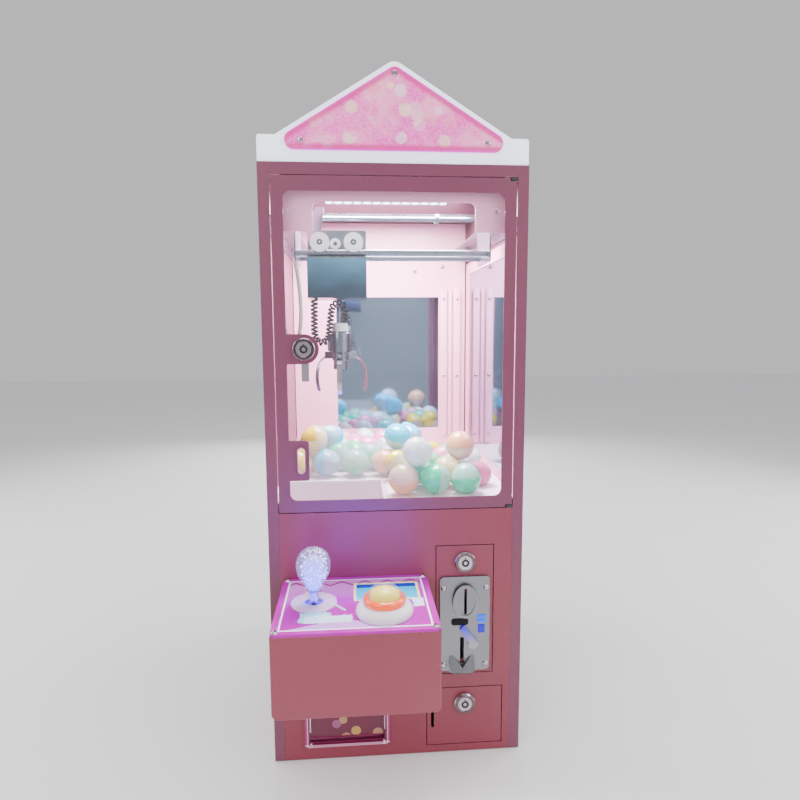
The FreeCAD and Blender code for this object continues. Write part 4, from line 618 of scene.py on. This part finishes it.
# %% The coin return lever
lever_finish, tree, surface = finish("lit_lever", Roughness=0.25, Coat_Weight=0.3,
                                     Emission_Strength=0.5)
lever_low, lever_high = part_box("coin_return_lever")
height = remap(tree, place_of(tree)[2], lever_low[2] + 0.006, lever_high[2] - 0.004)
grey = blend_colour(tree, noise(tree, 240.0), (0.30, 0.30, 0.34), (0.42, 0.42, 0.46))
tree.links.new(blend_colour(tree, height, grey, (0.015, 0.015, 0.62)),
               surface.inputs["Base Color"])
tree.links.new(blend_colour(tree, height, (0, 0, 0), (0.02, 0.02, 0.8)),
               surface.inputs["Emission Color"])
print("lever", round((lever_high[2] - lever_low[2]) * 1000), "mm tall")

# %% [markdown]
# ## Finishes on the engineering parts
# Parts whose shape is already right keep it, and only take their finish.

# %% Give every carried-over part its finish
finishes = {
    rose: "base_pan front_fascia control_box coin_door cash_door back_panel",
    mauve: "side_panels top_panel door_frame",
    blush: "interior_trim",
    pale: "playfield_deck prize_chute",
    black: "power_inlet hinge_brackets coin_mech",
    rubber: "feet",
    header_white: "header_shell",
    header_art: "header_art_panel",
    chrome: "panel_screws door_lock_barrel door_lock_plug coin_lock_barrel coin_lock_plug"
            " cash_lock_barrel cash_lock_plug joystick_stick prong_1 prong_2 prong_3",
    lamp_white: "led_strips",
    glass: "door_glass",
    acrylic: "chute_guard",
    disc_clear: "joystick_disc",
    mirror: "mirrors",
    cast: "coin_plate",
    white: "joystick_base",
    lever_finish: "coin_return_lever",
    zinc: "cash_box side_rails gantry_frame gantry_drive_shaft trolley_frame"
          " joystick_gimbal claw_body",
    cover_steel: "trolley_cover",
    nylon: "trolley_wheels_left trolley_wheels_right winch_spool",
    overlay: "control_panel",
    display: "lcd_display",
    flap_print: "prize_flap",
    edge_glow: "prize_frame",
    board_green: "electronics",
}
for material, names in finishes.items():
    for name in names.split():
        mesh = nodes[name].data
        mesh.materials.clear()
        mesh.materials.append(material)
floor_finish = plastic("studio_floor", (0.86, 0.86, 0.87), 0.6)
floor_mesh.materials.append(floor_finish)
print("finished parts", sum(len(names.split()) for names in finishes.values()))

# %% [markdown]
# ## Making a new piece
# A new piece starts as a bmesh, an editable mesh in memory. When its shape is done it becomes an
# object at the origin with its place in its mesh, so it lines up with the frame. It rides on a
# body and may stand in for a plain part.

# %% Helpers that finish a piece
def piece(name, shape, material, body, instead=(), smooth=True):
    """An object from a bmesh, riding on a body."""
    bmesh.ops.recalc_face_normals(shape, faces=shape.faces[:])
    mesh = bpy.data.meshes.new(name)
    for face in shape.faces:
        face.smooth = smooth
    shape.to_mesh(mesh)
    shape.free()
    if smooth:
        mesh.set_sharp_from_angle(angle=math.radians(38))
    mesh.materials.append(material)
    made = bpy.data.objects.new(name, mesh)
    bpy.context.collection.objects.link(made)
    if body:
        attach(made, body)
    if instead:
        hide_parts(*instead)
    return made


def block(shape, size, centre, turn=None):
    """A cube scaled to a size, turned about the origin and moved to its place."""
    made = bmesh.ops.create_cube(shape, size=1.0)["verts"]
    bmesh.ops.scale(shape, vec=size, verts=made)
    if turn:
        bmesh.ops.rotate(shape, matrix=turn, verts=made)
    bmesh.ops.translate(shape, vec=centre, verts=made)
    return made


def soften(shape, edges, radius, segments):
    """Rounds some edges to a radius in millimetres."""
    bmesh.ops.bevel(shape, geom=edges, offset=radius / 1000, segments=segments,
                    affect="EDGES", profile=0.5, material=-1)


def lathe(profile, centre, axis=(0, 0, 1), steps=48, into=None):
    """A profile of (radius, along) in millimetres, spun about an axis through centre."""
    shape = into or bmesh.new()
    axis = Vector(axis)
    across = Vector((1, 0, 0)) if abs(axis.x) < 0.5 else Vector((0, 1, 0))
    points = [shape.verts.new(centre + across * (r / 1000) + axis * (a / 1000))
              for r, a in profile]
    edges = [shape.edges.new(pair) for pair in zip(points, points[1:])]
    bmesh.ops.spin(shape, geom=points + edges, cent=centre, axis=axis, angle=2 * math.pi,
                   steps=steps, use_merge=True)
    bmesh.ops.remove_doubles(shape, verts=shape.verts[:], dist=1e-6)
    return shape


def rounded_bar(low, high, radius, into=None):
    """A box between two corners with its edges rounded."""
    shape = into or bmesh.new()
    made = block(shape, [abs(v) for v in high - low], (low + high) / 2)
    soften(shape, list({e for v in made for e in v.link_edges}), radius, 2)
    return shape


print("piece, block, soften, lathe and rounded bar ready")

# %% [markdown]
# ## Leads
# The gantry's grey lead hangs in a narrow loop at the left, so it can follow the crane back. The
# coiled black lead does the same between trolley and claw. Each is a smooth spline through the
# route's points. The coil's turns are a helix laid along that spline.

# %% The gantry's hanging lead
LEAD = 0.0048
GANTRY_ROUTE = [(-143, 37, 691.7), (-145, 37, 631.7), (-138, 37, 555.7), (-127, 37, 529.7),
                (-116, 37, 555.7), (-117, 37, 609.7), (-122, 37, 639.4)]


def spline_curve(name, points, thickness):
    """A curve object with one smooth open spline."""
    data = bpy.data.curves.new(name, "CURVE")
    data.dimensions = "3D"
    line = data.splines.new("NURBS")
    line.points.add(len(points) - 1)
    for point, place in zip(line.points, points):
        point.co = (*place, 1)
    line.order_u = 3
    line.use_endpoint_u = True
    line.resolution_u = 12
    data.bevel_depth = thickness / 2
    data.bevel_resolution = 4
    made = bpy.data.objects.new(name, data)
    bpy.context.collection.objects.link(made)
    return made


def centre_line(points):
    """Close points along the smooth spline through a route."""
    guide = spline_curve("guide", points, 0)
    mesh = bpy.data.meshes.new_from_object(guide)
    line = [v.co.copy() for v in mesh.vertices]
    bpy.data.meshes.remove(mesh)
    bpy.data.objects.remove(guide)
    return line


def length_of(line):
    return sum((b - a).length for a, b in zip(line, line[1:]))


def tube_along(name, route, thickness, material):
    """A mesh tube on a route, and the line it follows."""
    line = centre_line(route)
    guide = spline_curve(name, route, thickness)
    guide.data.use_fill_caps = True
    mesh = bpy.data.meshes.new_from_object(guide)
    bpy.data.objects.remove(guide)
    mesh.materials.append(material)
    for face in mesh.polygons:
        face.use_smooth = True
    made = bpy.data.objects.new(name, mesh)
    bpy.context.collection.objects.link(made)
    return made, line


gantry_lead, line = tube_along("gantry_lead", [at(*p) for p in GANTRY_ROUTE], LEAD,
                               lead_grey)
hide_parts("gantry_cable")
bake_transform(gantry_lead)
print("gantry lead", round(length_of(line) * 1000), "mm")

# %% The coiled lead
COIL_ROUTE = [(-101, 61, 594.5), (-102, 61, 564.8), (-101, 61, 538.8), (-84, 61, 538.8),
              (-81, 62, 568.8), (-78, 63, 589.3), (-61.5, 71, 589.3), (-61.5, 71, 564.3)]
COIL_RADIUS, WIRE, TURNS = 0.0037, 0.0026, 30
spine = centre_line([at(*p) for p in COIL_ROUTE])
steps = TURNS * 16


def along(line, part):
    """The point at a part of a line's length, and the line's direction there."""
    left = part * length_of(line)
    for a, b in zip(line, line[1:]):
        run = (b - a).length
        if left <= run or b is line[-1]:
            return a.lerp(b, min(1, left / run)), (b - a).normalized()
        left -= run


normal = Vector((0, 1, 0))
helix = []
for step in range(steps + 1):
    centre_point, way = along(spine, step / steps)
    normal = (normal - way * normal.dot(way)).normalized()
    angle = 2 * math.pi * TURNS * step / steps
    helix.append(centre_point + COIL_RADIUS * (math.cos(angle) * normal
                                               + math.sin(angle) * way.cross(normal)))
coil, coil_line = tube_along("coiled_lead", helix, WIRE, lead_black)
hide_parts("curly_cord")
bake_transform(coil)
print("coiled lead", round(length_of(spine) * 1000), "mm of coil,",
      round(length_of(coil_line) * 1000), "mm wire")

# %% The claw's string
STRING = 0.0014
string_low, string_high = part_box("claw_string")
mid_x, mid_y = box_middle("claw_string")[0][:2]
string_route = [Vector((mid_x, mid_y, string_high[2] + (string_low[2] - string_high[2]) * k / 6))
                for k in range(7)]
string, line = tube_along("claw_string_line", string_route, STRING, braid)
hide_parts("claw_string")
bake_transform(string)
print("string", round(length_of(line) * 1000), "mm")

# %% [markdown]
# ## Capsules
# A toy capsule is two snap-together half shells, one coloured and one clearer. The frame has
# every half as a plain bowl. Each bowl's flat rim tells where its capsule's middle is and which
# way the half points, so a better bowl with a stepped snap rim can be laid in the same place.

# %% Where every half capsule lies
def bowls(name):
    """(middle, pole) of every half shell in a node's mesh, read from its flat rim."""
    shape = bmesh.new()
    shape.from_mesh(nodes[name].data)
    bmesh.ops.remove_doubles(shape, verts=shape.verts[:], dist=1e-6)
    waiting, found = set(shape.faces), []
    while waiting:
        island, edge_faces = [], [waiting.pop()]
        while edge_faces:
            face = edge_faces.pop()
            island.append(face)
            for edge in face.edges:
                for other in edge.link_faces:
                    if other in waiting:
                        waiting.discard(other)
                        edge_faces.append(other)
        normals = {}
        for face in island:
            key = tuple(round(v, 2) for v in face.normal)
            normals[key] = normals.get(key, 0) + face.calc_area()
        flat = max(normals, key=normals.get)
        rim = {v for face in island for v in face.verts
               if tuple(round(n, 2) for n in face.normal) == flat}
        spots = [v.co for v in rim]
        low = Vector([min(s[i] for s in spots) for i in range(3)])
        high = Vector([max(s[i] for s in spots) for i in range(3)])
        found.append(((low + high) / 2, -Vector(flat).normalized()))
    shape.free()
    return found


halves = bowls("capsules")
print("half shells", len(halves))

# %% Capsule colours and shells
BOWL = [(20.3, 0.05), (20.3, 2.2), (19.9, 2.3), (19.2, 5.6), (17.2, 10.2), (13.6, 14.7),
        (9.2, 17.9), (4.6, 19.7), (0, 20.2), (0, 19.0), (8.4, 16.9), (16.2, 9.6), (18.6, 0.05),
        (20.3, 0.05)]


capsule_colours = {
    "mint": (0.0, 0.62, 0.30), "yellow": (0.88, 0.60, 0.01), "cyan": (0.0, 0.50, 0.80),
    "pink": (0.90, 0.20, 0.42), "aqua": (0.08, 0.66, 0.56), "peach": (0.92, 0.42, 0.22),
    "white": (0.80, 0.90, 0.88)}
centres = []
for place_found, pole in halves:
    near = [c for c in centres if (c[0] - place_found).length < 0.003]
    if near:
        near[0][1].append(pole)
    else:
        centres.append((place_found, [pole]))
centres.sort(key=lambda c: (round(c[0].y, 3), round(c[0].x, 3), c[0].z))
random.seed(11)
order = list(capsule_colours) * 10
random.shuffle(order)
groups = {}
for (place_found, poles), colour in zip(centres, order):
    for pole in poles:
        groups.setdefault((colour, pole is poles[0]), []).append((place_found, pole))
first = True
for (colour, is_base), spots in groups.items():
    shape = bmesh.new()
    for spot, pole in spots:
        lathe(BOWL, spot, axis=pole, steps=22, into=shape)
    tone = capsule_colours[colour]
    if not is_base:
        tone = [c * 0.5 + 0.42 for c in tone]
    kind = colour + ("_base" if is_base else "_lid")
    shell = plastic("capsule_" + kind, tone, 0.16, 0.05, Coat_Weight=0.5,
                    Alpha=1.0 if is_base else 0.58, Subsurface_Weight=0.15)
    piece("capsules_" + kind, shape, shell, "cabinet",
          ("capsules",) if first else ())
    first = False
print("capsules", len(centres), "in", len(groups), "objects")

# %% [markdown]
# ## The lit joystick knob
# The knob is a hollow clear bulb that screws onto the stick. Small air bubbles hang in it and
# catch the light from a lamp under the panel. The bulb is a spun profile; the bubbles are tiny
# icospheres scattered inside it with a fixed seed. The collar under the bulb reaches down to just
# above the dust disc. It clears the disc at rest and in each single tilt, but it cuts into the disc
# when the stick is tipped both ways at once.

# %% Clear bulb, collar and bubbles
STICK_LOW, STICK_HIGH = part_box("joystick_knob")
stick_axis = Vector((*box_middle("joystick_knob")[0][:2], STICK_LOW[2]))
BULB = [(3.6, 0.2), (8, 0), (8.8, 0.6), (10.5, 3), (12.5, 10), (16.5, 16), (18.6, 20.5),
        (19.5, 25), (19.8, 30), (19.5, 34), (18.6, 37), (16.9, 41), (15, 43.5), (12.5, 46),
        (9.5, 48), (6, 49.4), (3, 49.8), (0, 50)]
bulb_clear, tree, surface = finish("bulb_clear", Base_Color=(0.74, 0.76, 0.95, 1),
                                   Roughness=0.03, Coat_Weight=1.0)
crackle = add(tree, "TexVoronoi", {"Vector": where(tree), "Scale": 260.0}, feature="F1")
speck = maths(tree, "LESS_THAN", crackle.outputs["Distance"], 0.28)
tree.links.new(remap(tree, speck, to_low=0.16, to_high=0.42), surface.inputs["Alpha"])
bump(tree, surface, crackle.outputs["Distance"], 0.35, 0.0004)
piece("knob_bulb", lathe(BULB, stick_axis, steps=64), bulb_clear, "stick",
      ("joystick_knob",))
core_glow = plastic("bulb_core", (0.40, 0.42, 0.62), 0.30, Emission_Color=(0.45, 0.48, 1.0, 1),
                    Emission_Strength=0.12)
CORE = [(3.6, 1), (6, 1), (8.5, 6), (10, 12), (11.5, 20), (12, 28), (10, 35), (5, 39.5),
        (0, 40.5)]
piece("knob_core", lathe(CORE, stick_axis, steps=40), core_glow, "stick")
BUBBLES = 170
bubble_mesh = bmesh.new()
random.seed(4)
for _ in range(BUBBLES):
    height = random.uniform(6, 46)
    wall = next(r + (s - r) * (height - a) / (b - a) for (r, a), (s, b) in zip(BULB, BULB[1:])
                if a <= height <= b and b > a)
    reach = (wall - 2.4) * math.sqrt(random.uniform(0.45, 1))
    turn_angle = random.uniform(0, 2 * math.pi)
    spot = stick_axis + Vector((reach * math.cos(turn_angle), reach * math.sin(turn_angle),
                                height)) / 1000
    bmesh.ops.create_icosphere(bubble_mesh, subdivisions=1,
                               radius=random.uniform(0.6, 1.5) / 1000,
                               matrix=Matrix.Translation(spot))
bubble_white = plastic("bubbles", (0.95, 0.94, 1.0), 0.08, Emission_Color=(0.80, 0.78, 1, 1),
                       Emission_Strength=0.45)
piece("knob_bubbles", bubble_mesh, bubble_white, "stick")
DISC_GAP = (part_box("joystick_disc")[1][2] - STICK_LOW[2]) * 1000 + 0.3
COLLAR = [(4.1, DISC_GAP), (5.6, DISC_GAP), (5.6, -1.6), (7.6, -1.2), (8.2, -0.6), (8.2, -0.2),
          (4.1, -0.2), (4.1, DISC_GAP)]
piece("knob_collar", lathe(COLLAR, stick_axis, steps=40), chrome, "stick")
print("collar", round(-DISC_GAP, 1), "mm long; knob height",
      round((STICK_HIGH[2] - STICK_LOW[2]) * 1000), "mm")

# %% [markdown]
# ## The push button
# An arcade button has a fixed rim with a lamp ring and a plunger that slides in it. The rim is
# moulded white, the ring is clear orange and lit from below, and the plunger's dome is clear with
# a yellow lens under it. The fixed parts ride the cabinet and the plunger rides its own slide.

# %% Button rim, ring and dome
button_axis = Vector((*box_middle("button_plunger")[0][:2], panel_top[2]))
RIM = [(13.9, 0.1), (31.6, 0.1), (32, 1.6), (31.8, 3.6), (31, 6), (29.6, 8.2), (27.6, 10),
       (25.2, 11.4), (22.6, 12), (19.6, 12), (19.6, 6), (14, 6), (14, -36.8), (11.1, -36.8),
       (11.1, 5.0), (13.9, 5.0), (13.9, 0.1)]
THREADED = [(14, -5), (14, -6)]
for step in range(14):
    THREADED += [(14.7, -6.6 - step * 2), (14, -7.4 - step * 2)]
button_white = plastic("button_white", (0.80, 0.72, 0.78), 0.22, Coat_Weight=0.5,
                       Subsurface_Weight=0.2, Emission_Color=(1, 0.80, 0.90, 1),
                       Emission_Strength=0.05)
piece("button_rim", lathe(RIM, button_axis, steps=64), button_white, "cabinet",
      ("button_housing",))
piece("button_thread", lathe(THREADED, button_axis, steps=32), black, "cabinet")
RING = [(19.7, 12.2), (23.4, 12.2), (23.6, 13), (23.6, 15.4), (23.0, 17.4), (21.8, 19),
        (20.4, 19.4), (19.7, 19.2), (19.7, 12.2)]
amber = plastic("amber_ring", (0.90, 0.09, 0.0), 0.12, Coat_Weight=1.0,
                Emission_Color=(1.0, 0.08, 0.0, 1), Emission_Strength=0.40)
piece("button_ring", lathe(RING, button_axis, steps=64), amber, "cabinet")
LENS = [(0, -20), (10.6, -20), (10.6, 10.2), (16.6, 10.2), (17.2, 17), (16.2, 22), (12.5, 25.4),
        (7, 27.4), (0, 28)]
DOME = [(17.4, 10.1), (18.3, 15), (18.6, 20), (18.1, 23), (17, 25), (14.6, 27.4), (12, 29),
        (9, 30.2), (6, 31), (3, 31.4), (0, 31.5)]
lens_yellow = plastic("lens_yellow", (0.72, 0.60, 0.01), 0.35, Emission_Color=(1, 0.74, 0.01, 1),
                      Emission_Strength=0.16)
dome_clear = clear("dome_clear", (0.99, 0.97, 0.94), 0.13, 0.02)
piece("button_lens", lathe(LENS, button_axis, steps=56), lens_yellow, "button",
      ("button_plunger",))
piece("button_dome", lathe(DOME, button_axis, steps=64), dome_clear, "button")

# %% [markdown]
# ## The coin mechanism's lights
# Behind small clear windows in the cast plate sit a dark credit display and two lit pills. They
# are shallow inserts pressed into the casting, so each is a rounded bar a little proud of it.

# %% Lit inserts on the coin plate
PLATE_FACE = -3.2
cyan = plastic("cyan_lamp", (0.0, 0.10, 0.70), 0.3, Emission_Color=(0.0, 0.12, 1, 1),
               Emission_Strength=0.8, Specular_IOR_Level=0.3)
deep_blue = plastic("blue_lamp", (0.01, 0.01, 0.45), 0.3, Emission_Color=(0.02, 0.02, 0.9, 1),
                    Emission_Strength=0.35, Specular_IOR_Level=0.3)
dark_window = plastic("dark_window", (0.003, 0.003, 0.006), 0.45, Specular_IOR_Level=0.2)
inserts = (("pill_display", 79.4, 182.0, 22.0, 9.0, 3.4, dark_window, "black_plastic"),
           ("upper_pill", 107.4, 188.4, 12.0, 4.6, 2.2, cyan, "lamp"),
           ("lower_pill", 107.4, 182.4, 12.0, 4.6, 2.2, cyan, "lamp"),
           ("return_lamp", 107.4, 172.0, 9.0, 11.0, 1.2, deep_blue, "lamp"))
for name, x, z, width, height, radius, material, slot in inserts:
    shape = bmesh.new()
    corner = at(x - width / 2, PLATE_FACE - 0.9, z - height / 2)
    other = at(x + width / 2, PLATE_FACE + 0.4, z + height / 2)
    block(shape, other - corner, (corner + other) / 2)
    upright = [e for e in shape.edges if abs((e.verts[0].co - e.verts[1].co).y) > 1e-5]
    soften(shape, upright, radius, 6)
    rim = [e for e in shape.edges if all(v.co.y < corner.y + 1e-5 for v in e.verts)]
    soften(shape, rim, 0.4, 2)
    piece(name, shape, material, "coin_hatch")
print("inserts", len(inserts))

# %% [markdown]
# Four pan-head screws hold the plate. Each head is a shallow spun dome with a cross in it.

# %% Bright heads on the plate's screws
PLATE_HEAD = [(0, 2.3), (1.8, 2.1), (3.1, 1.4), (3.9, 0.3), (4.0, -0.4), (0, -0.4)]
SCREW_ACROSS, SCREWS_DOWN, CROSS_TURN = 0.0275, (0.1175, 0.0145), 0.5
plate_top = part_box("coin_plate")[1][2]
plate_mid = box_middle("coin_plate")[0]
spots = [Vector((plate_mid[0] + side * SCREW_ACROSS, FRONT_Y + PLATE_FACE / 1000,
                 plate_top - down)) for side in (-1, 1) for down in SCREWS_DOWN]
heads = bmesh.new()
for spot in spots:
    lathe(PLATE_HEAD, spot, axis=(0, -1, 0), steps=24, into=heads)
    for angle in (CROSS_TURN, CROSS_TURN + math.pi / 2):
        block(heads, (0.0042, 0.0004, 0.0009), spot - Vector((0, 0.0023, 0)),
              Matrix.Rotation(angle, 3, "Y"))
piece("plate_screw_heads", heads, chrome, "coin_hatch")
print("plate screws", len(spots))

# %% [markdown]
# ## Lock faces
# A tubular lock shows a dark ring where its round key goes, with one notch for the key's tooth.
# That dark is shade in the deep keyway, painted here as a thin black ring in the plug's groove, so
# it turns with the plug.

# %% Keyway rings of painted shade
keyway_painted_shade = plastic("keyway_painted_shade", (0.004, 0.004, 0.006), 0.5)
smoked = metal("smoked_chrome", (0.16, 0.11, 0.12), 0.16, (30, 30, 30), 0.02)
KEYWAY = [(2.6, 0.05), (4.9, 0.05), (4.9, -0.12), (2.6, -0.12), (2.6, 0.05)]
BARREL_RIM = [(9.0, 0), (9.6, 0.5), (12.2, 0.5), (12.8, 0), (12.8, -0.3), (9.0, -0.3), (9.0, 0)]
for name, door in (("door", "door"), ("coin", "coin_hatch"), ("cash", "cash_hatch")):
    middle_x, _, middle_z = box_middle(name + "_lock_barrel")[0]
    face = Vector((middle_x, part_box(name + "_lock_plug")[0][1], middle_z))
    # The black ring and its notch are painted shade. They stand in for the dark of the deep keyway.
    ring = lathe(KEYWAY, face, axis=(0, -1, 0), steps=40)
    block(ring, (0.0012, 0.0002, 0.0022), face + Vector((0, -0.0001, 0.0056)))
    piece(name + "_keyway_shade", ring, keyway_painted_shade, name + "_lock")
    barrel_face = Vector((face.x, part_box(name + "_lock_barrel")[0][1], face.z))
    piece(name + "_lock_rim", lathe(BARREL_RIM, barrel_face, axis=(0, -1, 0), steps=56),
          smoked, door)
print("lock faces ready")

# %% [markdown]
# ## The claw's coil cage
# The magnet coil that closes the prongs sits in a light cage: flat bars hold the top plate to
# the hub, and a pale cap covers the top. The bars leave room for the coiled lead.

# %% Cage bars, plates and cap
claw_low, claw_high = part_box("claw_body")
claw_axis = Vector((mid_x, mid_y, 0))
BAR_LOW, BAR_HIGH = Vector((0.0142, -0.0024, 0.527)), Vector((0.0168, 0.0024, 0.553))
cage = bmesh.new()
for azimuth in range(43, 360, 72):
    rod = rounded_bar(BAR_LOW, BAR_HIGH, 0.3)
    bmesh.ops.rotate(rod, cent=(0, 0, 0), matrix=Matrix.Rotation(math.radians(azimuth), 3, "Z"),
                     verts=rod.verts[:])
    bmesh.ops.translate(rod, vec=claw_axis, verts=rod.verts[:])
    part = bpy.data.meshes.new("rod")
    rod.to_mesh(part)
    rod.free()
    cage.from_mesh(part)
    bpy.data.meshes.remove(part)
piece("claw_cage", cage, zinc, "claw")
CAP = [(9.6, 553), (10.2, 553.4), (10.2, 560.5), (9.9, 563), (8.6, 563.95), (7.6, 564.05),
       (7.6, 563.8), (9.6, 561.5), (9.6, 553)]
piece("claw_cap", lathe(CAP, claw_axis, steps=48), nylon, "claw")
print("claw from", round(claw_low[2] * 1000), "to", round(claw_high[2] * 1000), "mm")

# %% [markdown]
# The trolley's rollers and the winch spool turn on small bearings, which show as dark rings.

# %% Dark bearing rings on the rollers
bearing = plastic("bearing_dark", (0.03, 0.05, 0.08), 0.4)
for name, body, outer in (("trolley_wheels_left", "rollers_left", 3.6),
                          ("trolley_wheels_right", "rollers_right", 3.6),
                          ("winch_spool", "spool", 2.4)):
    middle_x, _, middle_z = box_middle(name)[0]
    face = Vector((middle_x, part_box(name)[0][1], middle_z))
    ring = [(outer - 2.3, -0.3), (outer, -0.3), (outer, 0.45), (outer - 2.3, 0.45),
            (outer - 2.3, -0.3)]
    piece(name + "_bearing", lathe(ring, face, axis=(0, -1, 0), steps=32), bearing, body)
print("bearings 3")

# %% [markdown]
# ## Screws and a folded channel inside
# The back corner is closed by a folded channel held with dome screws. Its groove runs the full
# height beside the mirror.

# %% Corner channel and dome screws
TRIM_FACE = 368.4
channel = bmesh.new()
for x, width, out in ((113.0, 12.0, 2.0), (137.0, 12.0, 2.0), (125.0, 6.0, 0.8)):
    rounded_bar(at(x - width / 2, TRIM_FACE - out, 345), at(x + width / 2, TRIM_FACE, 628), 0.6,
                into=channel)
piece("corner_channel", channel, blush, "cabinet")
SCREW = [(0, 2.0), (1.6, 1.8), (2.8, 1.1), (3.3, 0.1), (3.3, 0), (0, 0)]
domes = bmesh.new()
for x, z, out in ((113, 610, 2.0), (137, 610, 2.0), (113, 470, 2.0), (137, 470, 2.0),
                  (113, 360, 2.0), (137, 360, 2.0), (60, 660, 0), (-40, 668, 0), (110, 668, 0)):
    lathe(SCREW, at(x, TRIM_FACE - out, z), axis=(0, -1, 0), steps=20, into=domes)
piece("inside_screws", domes, chrome, "cabinet")
print("trim face at", TRIM_FACE, "mm back")
